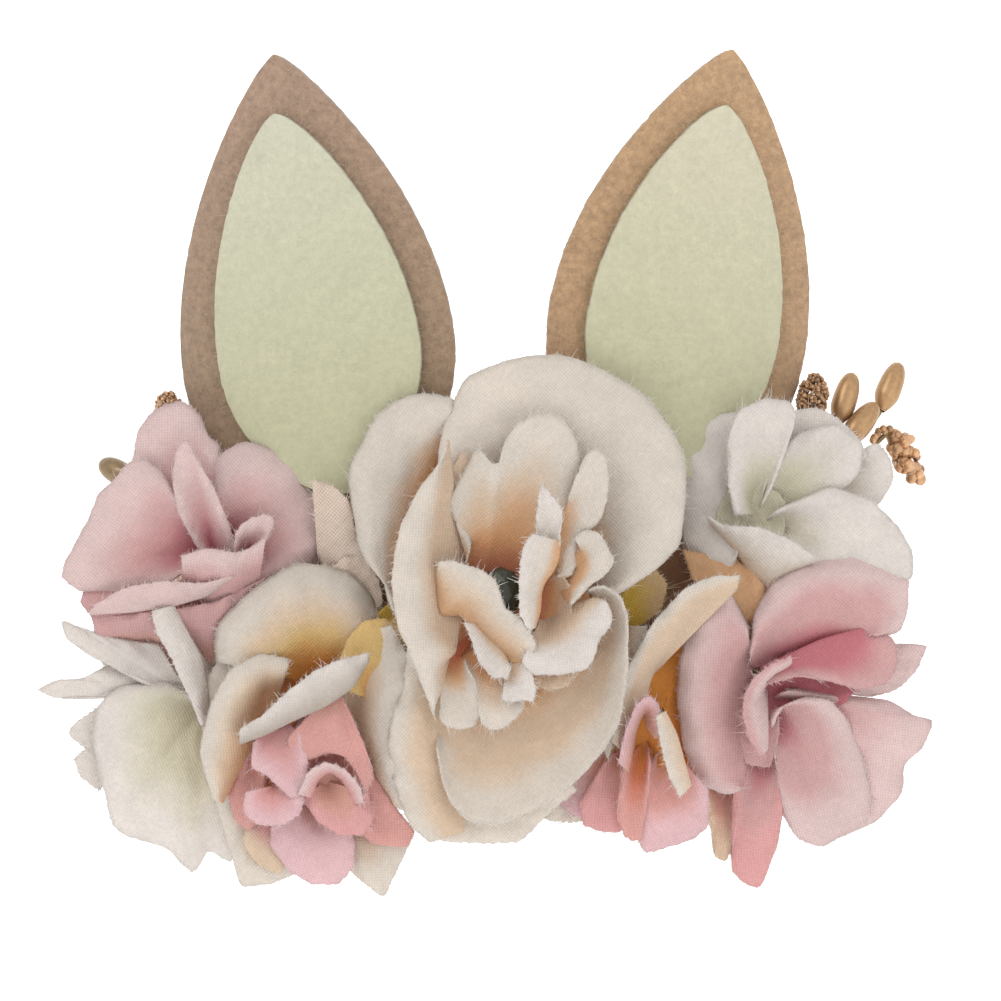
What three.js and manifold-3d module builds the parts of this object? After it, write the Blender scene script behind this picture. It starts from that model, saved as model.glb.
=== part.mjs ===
// Bunny ear headband for a baby: a soft knitted band, two felt ears and a row of dyed cloth flowers.
// Millimetres, +Z up. The origin is the middle of the head hollow at half the band's height,
// and the flowers face -Y.
import * as THREE from "three";
import { mergeVertices } from "three/addons/utils/BufferGeometryUtils.js";
import Module from "manifold-3d";

const wasm = await Module();
wasm.setup();

// Clearance between neighbouring pieces
const airGap = 0.3;
// How far a cut surface may move as its slivers are taken out: the first step that leaves it clean is used
const tidySteps = [0.12, 0.1, 0.08, 0.05, 0.02];
const weldStep = 1e-4;
const normalStep = 0.01;
const rimTolerance = 1e-6;
// How far a grown sheet reaches past its rim, as a share of its own length
const petalOverrun = 0.03;
const backingOverrun = 0.01;
const earOverrun = 0.005;

// Band: a closed loop of stretch knit, drawn in plan as tangent arcs round a small head
const bandHeight = 30;
const bandWall = 1;
const bandBelly = 0.8;
const bandFrontRadius = 95;
const bandFrontHalfSweep = 27;
const bandSideRadius = 28;
const bandSideSweep = 48;

// Felt backing that the ears and flowers are fixed to, in front of the band
const backingLength = 104;
const backingHeight = 42;
const backingThickness = 2;
const backingEndRound = 6;

// Ears: an outer felt and a smaller inner felt
const earLength = 75;
const earWidth = 43.6;
const outerFeltThickness = 2;
const innerFeltThickness = 1.5;
const earTipPower = 0.8;
const innerEarTipPower = 0.56;
const earFootPower = 0.6;
const earTipShare = 0.004;
const earFootShare = 0.97;
const innerEarTipDrop = 9;
const innerEarBorder = 5.6;
const innerEarLength = 57;

// Flowers: petals of starched cloth gathered on a thread-bound hub
const bloomRadius = 25;
const bloomDepth = 22;
const petalThickness = 1;
const hubRadius = 3.6;
const hubSides = 8;
const hubStep = 2;
const hubFoot = 4.6;
const hubSink = 1;
const petalRows = 3;
const broadPetalColumns = 4;
const narrowPetalColumns = 2;
const broadPetalShare = 0.56;
const petalNeck = 0.3;
const petalShoulder = 0.6;
const petalTipRound = 0.24;
const petalPointDepth = 0.96;
const petalPointPower = 1.5;
const petalWaves = 1.5;

// Sprigs: wired stamens, berries and glitter buds tucked behind the flowers
const stemRadius = 0.5;
const stemStand = 4;
const stemBend = 0.5;
const stemInHead = 1;
const pipRadius = 1.95;
const pipLength = 8.6;
const berryHeadRadius = 3.1;
const berryHeadLength = 10;
const glitterHeadRadius = 2.1;
const glitterHeadLength = 6;
const centrePipRadius = 2.7;
const centrePipLength = 9;

const degrees = Math.PI / 180;
const turned = (angle) => angle * degrees;

// Plan of the band, worked out from its radii and sweeps
const sideOffset = bandFrontRadius - bandSideRadius;
const sideX = sideOffset * Math.sin(turned(bandFrontHalfSweep));
const backStart = bandFrontHalfSweep + bandSideSweep;
const backRadius = bandSideRadius + sideX / Math.sin(turned(backStart));
const sideBehindFront = sideOffset * Math.cos(turned(bandFrontHalfSweep));
const backBehindFront = sideBehindFront - sideX / Math.tan(turned(backStart));
const frontCentreY = (bandFrontRadius + backBehindFront - backRadius) / 2;
const sideY = frontCentreY - sideBehindFront;
const backCentreY = frontCentreY - backBehindFront;

// Faces in front of the band, as radii round the front arc's upright axis
const backingInner = bandFrontRadius + bandWall + bandBelly + airGap;
const backingFace = backingInner + backingThickness;
const outerEarInner = backingFace + airGap;
const innerEarInner = outerEarInner + outerFeltThickness + airGap;

const cloth = (colour) => new THREE.MeshStandardMaterial({ color: colour, roughness: 0.9, metalness: 0 });
const satin = (colour) => new THREE.MeshStandardMaterial({ color: colour, roughness: 0.35, metalness: 0.6 });

function table(columns, rows) {
  return rows.map((row) => Object.fromEntries(columns.map((name, at) => [name, row[at]])));
}

// Ears: places are shares of half the backing's length and height, sizes are shares of the named ear
const earTable = ["side", "along", "foot", "length", "width", "widest", "lean"];

const ears = table(earTable, [
  ["left", -0.471, 0.452, 1, 1, 0.63, 8.6],
  ["right", 0.4, 0.505, 1, 0.945, 0.58, -12.3],
]);

// Petals: lengths are shares of the flower's radius or depth, turns and twists are degrees
const petalTable = [
  "turn", "root", "reach", "width", "rise", "bulge", "cup", "bend", "point", "twist", "wave",
];

// Sprigs: places are shares of half the backing's length and height, and lean is off upright
const sprigTable = ["name", "head", "foot", "footHeight", "along", "height", "lean", "stand"];

const sprigs = table(sprigTable, [
  ["gold_pip_left", "pip", -0.86, 0.5, -1.14, 0.82, 62, 1.4],
  ["glitter_sprig_left", "glitter", -0.8, 0.66, -0.98, 1.28, 20, 1],
  ["glitter_sprig_right", "glitter", 0.74, 0.78, 0.92, 1.36, -15, 1],
  ["gold_pip_right_1", "pip", 0.8, 0.72, 1.01, 1.27, -17, 1],
  ["gold_pip_right_2", "pip", 0.88, 0.62, 1.16, 1.36, -24, 1.2],
  ["gold_pip_right_3", "pip", 0.84, 0.66, 1.04, 1.1, -38, 1.5],
  ["berry_sprig", "berries", 0.93, 0.4, 1.16, 0.98, -62, 1.2],
]);

// Flowers: places are shares of half the backing's length and height, sizes are shares of the named bloom
const flowers = [
  {
    name: "rose", along: 0.027, height: 0, radius: 1, depth: 1, facing: 0, centre: [-0.05, 0.04],
    layers: [
      { name: "rose_inner_petals", colour: 0xc7a075, hub: 3, petals: table(petalTable, [
        [128, 0, 0.74, 0.62, 0.72, 0.05, 0.1, 0, 0.5, 0, 0],
        [68, 0, 0.8, 0.34, 0.95, 0, 0.3, 0, 0.5, 25, 0],
        [24, 0, 0.5, 0.42, 0.85, 0.05, 0.3, 0, 0.3, -15, 0],
        [-62, 0, 0.5, 0.5, 0.75, 0.1, 0.3, 0, 0.4, 0, 0],
        [-128, 0, 0.62, 0.45, 0.7, 0.1, 0.2, 0, 0.4, 0, 0],
      ]) },
      { name: "rose_middle_petals", colour: 0xcdbda7, hub: 2, petals: table(petalTable, [
        [84, 0, 1.24, 1.0, 0.52, 0.1, 0.08, 0, 0.2, 0, 0],
        [46, 0, 1.02, 0.7, 0.62, 0.12, 0.15, 0, 0.2, 0, 0],
        [8, 0, 0.72, 0.55, 0.75, 0.15, 0.25, 0, 0.2, 0, 0],
        [-34, 0, 0.8, 0.75, 0.72, 0.12, 0.2, 0, 0.1, 0, 0],
        [-100, 0, 0.94, 0.8, 0.66, 0.15, 0.2, 0, 0.1, 0, 0.06],
        [176, 0, 0.76, 1.3, 0.75, 0, 0.1, 0, 0, 0, 0],
      ]) },
      { name: "rose_outer_petals", colour: 0xd0c6b8, hub: 1, petals: table(petalTable, [
        [68, 0, 1.5, 1.4, 0.3, 0.2, 0.03, 0, 0, 0, 0],
        [18, 0, 1.1, 0.9, 0.25, 0.2, 0.03, 0, 0, 0, 0],
        [120, 0, 1.42, 1.05, 0.25, 0.2, 0.05, 0, 0, 0, 0],
        [-74, 0, 1.3, 1.25, 0.62, 0.1, 0.06, 0, 0, 0, 0],
        [-28, 0, 0.8, 0.75, 0.6, 0.1, 0.06, 0, 0, 0, 0],
        [-97, 0, 1.52, 0.9, 0.35, 0.25, 0.05, 0, 0.1, 0, 0],
        [-124, 0, 1.4, 0.85, 0.42, 0.15, 0.05, 0, 0.1, 0, 0],
      ]) },
    ],
  },
  {
    name: "pink_right", along: 0.815, height: -0.5, radius: 0.88, depth: 0.82, facing: 0.6,
    layers: [
      { name: "pink_right_inner_petals", colour: 0xc98f90, hub: 2, petals: table(petalTable, [
        [-2, 0, 0.85, 0.5, 0.7, 0.05, 0.15, 0, 0.2, 0, 0],
        [118, 0, 0.56, 0.6, 0.72, 0.1, 0.1, 0, 0.1, 0, 0],
        [205, 0, 0.45, 0.9, 0.85, 0.1, 0.15, 0, 0, 0, 0],
        [255, 0, 1.0, 0.4, 0.62, 0.15, 0.25, 0, 0.4, 0, 0],
        [284, 0, 0.9, 0.36, 0.66, 0.15, 0.25, 0, 0.4, 0, 0],
      ]) },
      { name: "pink_right_outer_petals", colour: 0xcca4a0, hub: 1, petals: table(petalTable, [
        [46, 0, 0.8, 1.2, 0.5, 0.2, 0.03, 0, 0, 0, 0],
        [196, 0, 0.72, 1.45, 0.72, 0.1, 0.05, 0, 0, 0, 0],
        [6, 0, 1.12, 0.5, 0.4, 0.2, 0.08, 0, 0.2, 0, 0],
        [-42, 0, 1.24, 1.3, 0.4, 0.25, 0.03, 0, 0, 0, 0],
        [267, 0, 1.5, 0.62, 0.35, 0.25, 0.1, 0, 0.6, 0, 0],
      ]) },
    ],
  },
  {
    name: "orange_right", along: 0.415, height: -0.667, radius: 0.78, depth: 0.773, facing: 0.6,
    layers: [
      { name: "orange_right_inner_petals", colour: 0xae6c3e, hub: 2, petals: table(petalTable, [
        [70, 0, 0.75, 0.5, 0.6, 0.1, 0.2, 0, 0.2, 0, 0],
        [265, 0, 0.5, 0.8, 0.75, 0.1, 0.2, 0, 0, 0, 0],
        [298, 0, 0.9, 0.3, 0.62, 0.15, 0.2, 0, 0.1, 0, 0],
      ]) },
      { name: "orange_right_outer_petals", colour: 0xd49a80, hub: 1, petals: table(petalTable, [
        [56, 0, 1.2, 0.85, 0.3, 0.15, 0.05, 0, 0.1, 0, 0],
        [100, 0, 0.8, 0.75, 0.3, 0.2, 0.1, 0, 0.1, 0, 0],
        [226, 0, 1.1, 0.5, 0.3, 0.2, 0.1, 0, 0.1, 0, 0],
        [246, 0, 1.14, 0.62, 0.4, 0.25, 0.08, 0, 0, 0, 0],
        [270, 0, 1.24, 0.66, 0.45, 0.25, 0.08, 0, 0, 0, 0],
        [294, 0, 1.18, 0.62, 0.4, 0.25, 0.08, 0, 0, 0, 0],
      ]) },
    ],
  },
  {
    name: "pink_left", along: -0.865, height: 0.321, radius: 0.8, depth: 0.82, facing: 0.6,
    layers: [
      { name: "pink_left_inner_petals", colour: 0xcf9aa0, hub: 2, petals: table(petalTable, [
        [104, 0, 0.92, 0.5, 0.7, 0.05, 0.15, 0, 0.5, 0, 0],
        [200, 0, 1.0, 0.3, 0.66, 0.15, 0.25, 0, 0.1, 0, 0],
        [42, 0, 0.55, 0.5, 0.75, 0.05, 0.2, 0, 0.2, 0, 0],
        [-38, 0, 0.42, 0.6, 0.75, 0.05, 0.2, 0, 0.1, 0, 0],
      ]) },
      { name: "pink_left_outer_petals", colour: 0xcfa8a6, hub: 1, petals: table(petalTable, [
        [170, 0, 1.16, 1.2, 0.35, 0.25, 0.03, 0, 0, 0, 0],
        [109, 0, 1.22, 0.75, 0.4, 0.2, 0.08, 0, 0.1, 0, 0],
        [37, 0, 1.02, 1.3, 0.4, 0.2, 0.03, 0, 0, 0, 0],
        [222, 0, 1.05, 1.0, 0.4, 0.25, 0.03, 0, 0, 0, 0],
      ]) },
    ],
  },
  {
    name: "orange_left", along: -0.587, height: -0.69, radius: 0.84, depth: 0.82, facing: 0.6,
    layers: [
      { name: "orange_left_fold", colour: 0xd2c4b4, hub: 3, petals: table(petalTable, [
        [30, -0.5, 0.66, 0.2, 0.75, 0, 0.15, 0, 0, 0, 0],
      ]) },
      { name: "orange_left_inner_petals", colour: 0xd49a90, hub: 2, petals: table(petalTable, [
        [307, 0, 1.25, 0.85, 0.45, 0.2, 0.08, 0, 0.2, 0, 0],
        [238, 0, 0.86, 0.6, 0.62, 0.1, 0.15, 0, 0.1, 0, 0.05],
        [272, 0, 0.8, 0.5, 0.72, 0.1, 0.2, 0, 0.1, 0, 0],
        [266, 0, 1.36, 0.66, 0.45, 0.2, 0.08, 0, 0.1, 0, 0.04],
        [36, 0, 0.85, 0.5, 0.45, 0.1, 0.15, 0, 0.2, 0, 0],
      ]) },
      { name: "orange_left_outer_petals", colour: 0xcc9c66, hub: 1, petals: table(petalTable, [
        [92, 0, 0.98, 1.25, 0.5, 0.15, 0.08, 0, 0, 0, 0],
        [204, 0, 0.74, 1.2, 0.45, 0.15, 0.1, 0, 0, 0, 0],
        [250, 0, 1.42, 0.7, 0.25, 0.2, 0.05, 0, 0.1, 0, 0],
        [293, 0, 1.56, 0.5, 0.25, 0.2, 0.05, 0, 0.7, 0, 0],
        [334, 0, 0.95, 1.1, 0.25, 0.15, 0.05, 0, 0, 0, 0],
      ]) },
    ],
  },
  {
    name: "white_left", along: -0.865, height: -0.5, radius: 0.9, depth: 0.727, facing: 0.6,
    layers: [
      { name: "white_left_fold", colour: 0xcdc5bc, hub: 2, petals: table(petalTable, [
        [136, 0, 0.62, 0.28, 0.7, 0.1, 0.2, 0, 0, 0, 0],
      ]) },
      { name: "white_left_petals", colour: 0xcdc5bc, hub: 1, petals: table(petalTable, [
        [162, 0, 1.12, 0.36, 0.45, 0.15, 0.15, 0, 0.9, 0, 0],
        [187, 0, 1.28, 0.36, 0.4, 0.15, 0.15, 0, 0.9, 0, 0],
        [226, 0, 1.12, 1.15, 0.4, 0.2, 0.03, 0, 0, 0, 0.03],
        [266, 0, 1.4, 0.42, 0.3, 0.2, 0.1, 0, 0.6, 0, 0],
      ]) },
    ],
  },
  {
    name: "white_right", along: 0.827, height: 0.607, radius: 0.69, depth: 0.682, facing: 0.6,
    layers: [
      { name: "white_right_inner_petals", colour: 0xcdbeae, hub: 2, petals: table(petalTable, [
        [200, 0, 0.85, 0.6, 0.8, 0, 0.1, 0, 0.1, 0, 0],
        [312, 0, 0.9, 0.7, 0.6, 0.1, 0.1, 0, 0.1, 0, 0],
      ]) },
      { name: "white_right_outer_petals", colour: 0xc9c0b2, hub: 1, petals: table(petalTable, [
        [160, 0, 1.18, 1.5, 0.5, 0.1, 0.02, 0, 0, 0, 0],
        [97, 0, 1.1, 0.75, 0.4, 0.2, 0.08, 0, 0.2, 0, 0],
        [50, 0, 0.98, 1.0, 0.45, 0.2, 0.03, 0, 0, 0, 0],
        [14, 0, 1.08, 0.8, 0.4, 0.2, 0.03, 0, 0, 0, 0],
        [-20, 0, 1.42, 0.7, 0.4, 0.2, 0.05, 0, 0.1, 0, 0],
      ]) },
    ],
  },
  {
    name: "left_leaves", along: -0.31, height: 0.15, radius: 0.36, depth: 0.364, facing: 1,
    layers: [
      { name: "gauze_petal", colour: 0xc7b4a2, hub: 1, petals: table(petalTable, [
        [146, -0.4, 1.4, 1.2, 0.7, 0.1, 0.03, 0, 0.1, 0, 0],
        [112, -0.4, 1.6, 0.9, 0.6, 0.1, 0.03, 0, 0.1, 0, 0],
      ]) },
      { name: "left_leaf", colour: 0x99773a, hub: 2, petals: table(petalTable, [
        [244, -0.2, 0.95, 0.42, 0.5, 0.1, 0.1, 0, 0.8, 0, 0],
      ]) },
    ],
  },
  {
    name: "right_leaves", along: 0.442, height: 0.024, radius: 0.36, depth: 0.364, facing: 1,
    layers: [
      { name: "right_leaf", colour: 0xa89051, hub: 1, petals: table(petalTable, [
        [10, -0.5, 1.0, 0.9, 0.7, 0.1, 0.05, 0, 0.6, 0, 0],
      ]) },
      { name: "peach_petal", colour: 0xd2ac90, hub: 2, petals: table(petalTable, [
        [2, -0.2, 1.65, 1.1, 0.6, 0.1, 0.03, 0, 0.1, 0, 0],
      ]) },
    ],
  },
];

// A closed solid from a three.js geometry, ready to be cut
function solidOf(geometry) {
  const bare = geometry.clone();
  bare.deleteAttribute("normal");
  bare.deleteAttribute("uv");
  const merged = mergeVertices(bare, 1e-4);
  const vertProperties = new Float32Array(merged.getAttribute("position").array);
  const triVerts = new Uint32Array(merged.index.array);
  return new wasm.Manifold(new wasm.Mesh({ numProp: 3, vertProperties, triVerts }));
}

function geometryOf(solid) {
  const mesh = solid.getMesh();
  const geometry = new THREE.BufferGeometry();
  geometry.setAttribute("position", new THREE.BufferAttribute(new Float32Array(mesh.vertProperties), 3));
  geometry.setIndex(new THREE.BufferAttribute(new Uint32Array(mesh.triVerts), 1));
  geometry.computeVertexNormals();
  return geometry;
}

// True if every edge is shared by two triangles once vertices that coincide are welded
function closesCleanly(solid) {
  const { vertProperties, triVerts } = solid.getMesh();
  const rounded = (vertex, axis) => Math.round(vertProperties[3 * vertex + axis] / weldStep);
  const keyOf = (vertex) => [0, 1, 2].map((axis) => rounded(vertex, axis)).join();
  const keys = Array.from(triVerts, keyOf);
  const uses = new Map();
  for (let at = 0; at < keys.length; at += 3) {
    for (const [from, to] of [[0, 1], [1, 2], [2, 0]]) {
      const edge = [keys[at + from], keys[at + to]].sort().join(";");
      uses.set(edge, (uses.get(edge) ?? 0) + 1);
    }
  }
  return [...uses.values()].every((count) => count === 2);
}

const largest = (solid) => solid.decompose().reduce((a, b) => (b.volume() > a.volume() ? b : a));

function tidied(solid) {
  const candidates = tidySteps.map((step) => () => largest(solid.asOriginal().simplify(step)));
  const clean = candidates.find((candidate) => closesCleanly(candidate()));
  return (clean ?? candidates.at(-1))();
}

// An overrun moves only the rim outwards, so a grown sheet keeps the facets of the sheet that it covers
function rimShare(value, lowest, highest, overrun) {
  if (value < lowest + rimTolerance) {
    return lowest - overrun;
  }
  if (value > highest - rimTolerance) {
    return highest + overrun;
  }
  return value;
}

// A sheet of even thickness: a flat box whose points follow surface(s, t), s from 0 to 1, t from -1 to 1
function sheetSolid(surface, { inner, outer, rows, columns, overrun = 0 }) {
  const box = new THREE.BoxGeometry(1, 2, 1, rows, columns, 1);
  const points = box.getAttribute("position");
  for (let at = 0; at < points.count; at += 1) {
    const s = rimShare(points.getX(at) + 0.5, 0, 1, overrun);
    const t = rimShare(points.getY(at), -1, 1, overrun);
    const along = surface(s + normalStep, t).sub(surface(s - normalStep, t));
    const across = surface(s, t + normalStep).sub(surface(s, t - normalStep));
    const normal = along.cross(across).normalize();
    const offset = points.getZ(at) > 0 ? outer : inner;
    const point = surface(s, t).addScaledVector(normal, offset);
    points.setXYZ(at, point.x, point.y, point.z);
  }
  return solidOf(box);
}

// A point in front of the band: along is measured on an arc of the given radius
function onArc(along, z, radius, measuredAt = radius) {
  const angle = along / measuredAt;
  return new THREE.Vector3(radius * Math.sin(angle), frontCentreY - radius * Math.cos(angle), z);
}

// Band
function bandPlan(path, offset) {
  const quarter = Math.PI / 2;
  const front = turned(bandFrontHalfSweep);
  const back = turned(backStart);
  path.absarc(0, frontCentreY, bandFrontRadius + offset, -quarter - front, -quarter + front, false);
  path.absarc(sideX, sideY, bandSideRadius + offset, -quarter + front, -quarter + back, false);
  path.absarc(0, backCentreY, backRadius + offset, -quarter + back, quarter, false);
  path.absarc(0, backCentreY, backRadius + offset, quarter, 3 * quarter - back, false);
  path.absarc(-sideX, sideY, bandSideRadius + offset, 3 * quarter - back, 3 * quarter - front, false);
  path.closePath();
  return path;
}

function bandSolid() {
  const wall = bandPlan(new THREE.Shape(), bandWall);
  wall.holes.push(bandPlan(new THREE.Path(), 0));
  const loop = new THREE.ExtrudeGeometry(wall, {
    depth: bandHeight, steps: 2, bevelEnabled: false, curveSegments: 5,
  });
  const points = loop.getAttribute("position");
  for (let at = 0; at < points.count; at += 1) {
    const share = (2 * points.getZ(at)) / bandHeight - 1;
    const swell = bandBelly * (1 - share * share);
    const point = new THREE.Vector2(points.getX(at), points.getY(at));
    point.addScaledVector(point.clone().normalize(), swell);
    points.setXYZ(at, point.x, point.y, points.getZ(at) - bandHeight / 2);
  }
  return solidOf(loop);
}

// Felt backing
function backingSurface(s, t) {
  const along = (s - 0.5) * backingLength;
  const fromEnd = Math.max(backingLength / 2 - Math.abs(along), 0);
  const inRound = Math.max(backingEndRound - fromEnd, 0) / backingEndRound;
  const half = backingHeight / 2 - backingEndRound * (1 - Math.sqrt(Math.max(1 - inRound * inRound, 0)));
  return onArc(along, t * half, backingInner);
}

// Ears: leaf-shaped felt bent to the curve of the backing
function earSurface(ear, felt) {
  const lean = turned(ear.lean);
  return (s, t) => {
    const fromTip = (1 - s) * felt.length;
    const widest = ear.widest * ear.length * earLength - felt.drop;
    const above = Math.min(Math.max(fromTip / widest, earTipShare), 1);
    const below = Math.min(Math.max(fromTip - widest, 0) / (felt.length - widest), earFootShare);
    const tip = Math.sin((Math.PI / 2) * above) ** felt.tipPower;
    const foot = Math.cos((Math.PI / 2) * below) ** earFootPower;
    const up = ear.length * earLength - felt.drop - fromTip;
    const across = (t * felt.width * tip * foot) / 2;
    const along = (ear.along * backingLength) / 2 + across * Math.cos(lean) - up * Math.sin(lean);
    const z = (ear.foot * backingHeight) / 2 + across * Math.sin(lean) + up * Math.cos(lean);
    return onArc(along, z, felt.inner, outerEarInner);
  };
}

// Petals, in a flower's own frame: X to the right, Y up, Z out of the flower
function petalSurface(row, flower, hubHeight) {
  const angle = turned(row.turn);
  const twist = turned(row.twist);
  const radius = flower.radius * bloomRadius;
  const depth = flower.depth * bloomDepth;
  const length = (row.reach - row.root) * radius;
  const width = row.width * radius;
  const rise = row.rise * depth - hubHeight;
  return (s, t) => {
    const arch = 4 * s * (1 - s);
    const shoulder = Math.sin((Math.PI / 2) * Math.min(Math.max(s, 0) / petalShoulder, 1));
    const beyond = Math.max(s - petalShoulder, 0) / (1 - petalShoulder);
    const narrowed = 1 - petalPointDepth * row.point * Math.min(beyond, 1) ** petalPointPower;
    const spread = (petalNeck + (1 - petalNeck) * shoulder) * narrowed;
    const across = (t * width * spread) / 2;
    const out = row.root * radius + length * s * (1 - petalTipRound * t * t);
    const ripple = Math.sin(2 * Math.PI * petalWaves * t);
    const lift = (row.cup * width * t * t + row.wave * width * ripple) * s;
    const sideways = across * Math.cos(twist * s) + row.bend * radius * arch;
    const forward = hubHeight + rise * s + row.bulge * depth * arch + lift + across * Math.sin(twist * s);
    return new THREE.Vector3(
      out * Math.cos(angle) - sideways * Math.sin(angle),
      out * Math.sin(angle) + sideways * Math.cos(angle),
      forward,
    );
  };
}

function hubSolid(level, grown) {
  const bottom = level <= 1 ? -hubSink : hubTop(level - 1) + airGap;
  const height = hubTop(level) - bottom;
  const radius = hubRadius + grown;
  const hub = new THREE.CylinderGeometry(radius, radius, height + 2 * grown, hubSides);
  hub.rotateX(Math.PI / 2);
  hub.translate(0, 0, bottom + height / 2);
  return solidOf(hub);
}

function hubTop(level) {
  return hubFoot + (level - 1) * (hubStep + airGap);
}

function petalSolids(layer, flower, grown) {
  const root = hubTop(layer.hub) - hubStep / 2;
  return layer.petals.map((row) => sheetSolid(petalSurface(row, flower, root), {
    inner: -petalThickness / 2 - grown,
    outer: petalThickness / 2 + grown,
    rows: petalRows,
    columns: row.width * flower.radius > broadPetalShare ? broadPetalColumns : narrowPetalColumns,
    overrun: grown > 0 ? petalOverrun : 0,
  }));
}

// Sprigs: a wire with its head fused to the end, bent up from behind the petals
function dropGeometry(radius, length) {
  const shares = [[0, 0], [0.6, 0.12], [1, 0.58], [0.66, 0.92], [0, 1]];
  const profile = shares.map(([across, up]) => new THREE.Vector2(across * radius, up * length));
  const drop = new THREE.LatheGeometry(profile, 8);
  drop.rotateX(Math.PI / 2);
  return drop;
}

function beadCluster(radius, length) {
  const cluster = new THREE.IcosahedronGeometry(radius, 1);
  cluster.scale(1, 1, length / (2 * radius));
  cluster.translate(0, 0, length / 2);
  return cluster;
}

const sprigHeads = {
  pip: { radius: pipRadius, length: pipLength, colour: 0xaa875a, shape: dropGeometry },
  berries: { radius: berryHeadRadius, length: berryHeadLength, colour: 0xa08056, shape: beadCluster },
  glitter: { radius: glitterHeadRadius, length: glitterHeadLength, colour: 0x8f7654, shape: beadCluster },
};

function sprigSolid(sprig, grown) {
  const head = sprigHeads[sprig.head];
  const halfLength = backingLength / 2;
  const halfHeight = backingHeight / 2;
  const flat = outerEarInner + stemRadius;
  const foot = onArc(sprig.foot * halfLength, sprig.footHeight * halfHeight, flat);
  const stand = flat + stemStand * sprig.stand;
  const neck = onArc(sprig.along * halfLength, sprig.height * halfHeight, stand, flat);
  const lean = turned(-sprig.lean);
  const angle = (sprig.along * halfLength) / flat;
  const level = Math.sin(lean);
  const aim = new THREE.Vector3(level * Math.cos(angle), level * Math.sin(angle), Math.cos(lean));
  const bend = neck.clone().addScaledVector(aim, -stemBend * head.length);
  const wire = new THREE.QuadraticBezierCurve3(foot, bend, neck.clone().addScaledVector(aim, stemInHead));
  const section = new THREE.Shape().absarc(0, 0, stemRadius + grown, 0, 2 * Math.PI, false);
  const stem = new THREE.ExtrudeGeometry(section, { extrudePath: wire, steps: 3, curveSegments: 3 });
  const shape = head.shape(head.radius, head.length);
  const wider = 1 + grown / head.radius;
  shape.scale(wider, wider, 1 + (2 * grown) / head.length);
  shape.translate(0, 0, -grown);
  shape.applyQuaternion(new THREE.Quaternion().setFromUnitVectors(new THREE.Vector3(0, 0, 1), aim));
  shape.translate(neck.x, neck.y, neck.z);
  return solidOf(stem).add(solidOf(shape));
}

function centrePipSolid(flower, grown) {
  const radius = flower.radius * bloomRadius;
  const [right, up] = flower.centre;
  const pip = dropGeometry(centrePipRadius + grown, centrePipLength + grown);
  const top = hubTop(flower.layers[0].hub);
  pip.translate(right * radius, up * radius, top + airGap - grown);
  return solidOf(pip);
}

function flowerFrame(flower) {
  const along = (flower.along * backingLength) / 2;
  const seatRadius = backingFace + airGap;
  const seat = onArc(along, (flower.height * backingHeight) / 2, seatRadius);
  const angle = along / seatRadius;
  const frame = new THREE.Group();
  frame.name = flower.name;
  frame.position.copy(seat);
  frame.rotation.set(Math.PI / 2, 0, angle * flower.facing, "ZXY");
  frame.updateMatrixWorld(true);
  return frame;
}

// Assembly
const headband = new THREE.Group();
headband.name = "bunny_ear_headband";

// What is already placed, grown by the air gap: later pieces are cut back from it
let taken = null;

function claim(grown) {
  taken = taken === null ? grown : taken.add(grown);
}

function place(name, solid, material, parent = headband) {
  const mesh = new THREE.Mesh(geometryOf(solid), material);
  mesh.name = name;
  parent.add(mesh);
}

place("band", bandSolid(), cloth(0xd9c3ae));

const backingGrid = { rows: 18, columns: 2 };
const backing = sheetSolid(backingSurface, { inner: 0, outer: backingThickness, ...backingGrid });
place("felt_backing", backing, cloth(0x9c7d62));
claim(sheetSolid(backingSurface, {
  inner: -airGap, outer: backingThickness + airGap, overrun: backingOverrun, ...backingGrid,
}));

for (const ear of ears) {
  const outer = {
    length: ear.length * earLength,
    width: ear.width * earWidth,
    drop: 0,
    tipPower: earTipPower,
    inner: outerEarInner,
  };
  const inner = {
    length: innerEarLength,
    width: outer.width - 2 * innerEarBorder,
    drop: innerEarTipDrop,
    tipPower: innerEarTipPower,
    inner: innerEarInner,
  };
  const earGrid = { rows: 10, columns: 4 };
  const felts = [
    { name: `ear_${ear.side}_outer`, felt: outer, thickness: outerFeltThickness, colour: 0xa5866d },
    { name: `ear_${ear.side}_inner`, felt: inner, thickness: innerFeltThickness, colour: 0xc6c5a4 },
  ];
  for (const { name, felt, thickness, colour } of felts) {
    const surface = earSurface(ear, felt);
    place(name, sheetSolid(surface, { inner: -thickness, outer: 0, ...earGrid }), cloth(colour));
    claim(sheetSolid(surface, { inner: -thickness - airGap, outer: airGap, overrun: earOverrun, ...earGrid }));
  }
}

// Flowers: every hub keeps clear of every petal, and a petal gives way to what was placed before it
const frames = new Map(flowers.map((flower) => [flower.name, flowerFrame(flower)]));
const inFrame = (solid, flower) => solid.transform(frames.get(flower.name).matrixWorld.elements);
const layers = flowers.flatMap((flower) => flower.layers.map((layer) => ({ flower, layer })));
const hubClearance = layers.map(({ flower, layer }) => inFrame(hubSolid(layer.hub, airGap), flower));

for (const frame of frames.values()) {
  headband.add(frame);
}

for (const sprig of sprigs) {
  const whole = tidied(sprigSolid(sprig, 0).subtract(taken));
  place(sprig.name, whole, satin(sprigHeads[sprig.head].colour));
  claim(sprigSolid(sprig, airGap));
}

for (const flower of flowers.filter((one) => one.centre)) {
  const frame = frames.get(flower.name);
  place(`${flower.name}_centre_pip`, centrePipSolid(flower, 0), satin(0x4a4a3c), frame);
  claim(inFrame(centrePipSolid(flower, airGap), flower));
}

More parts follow.
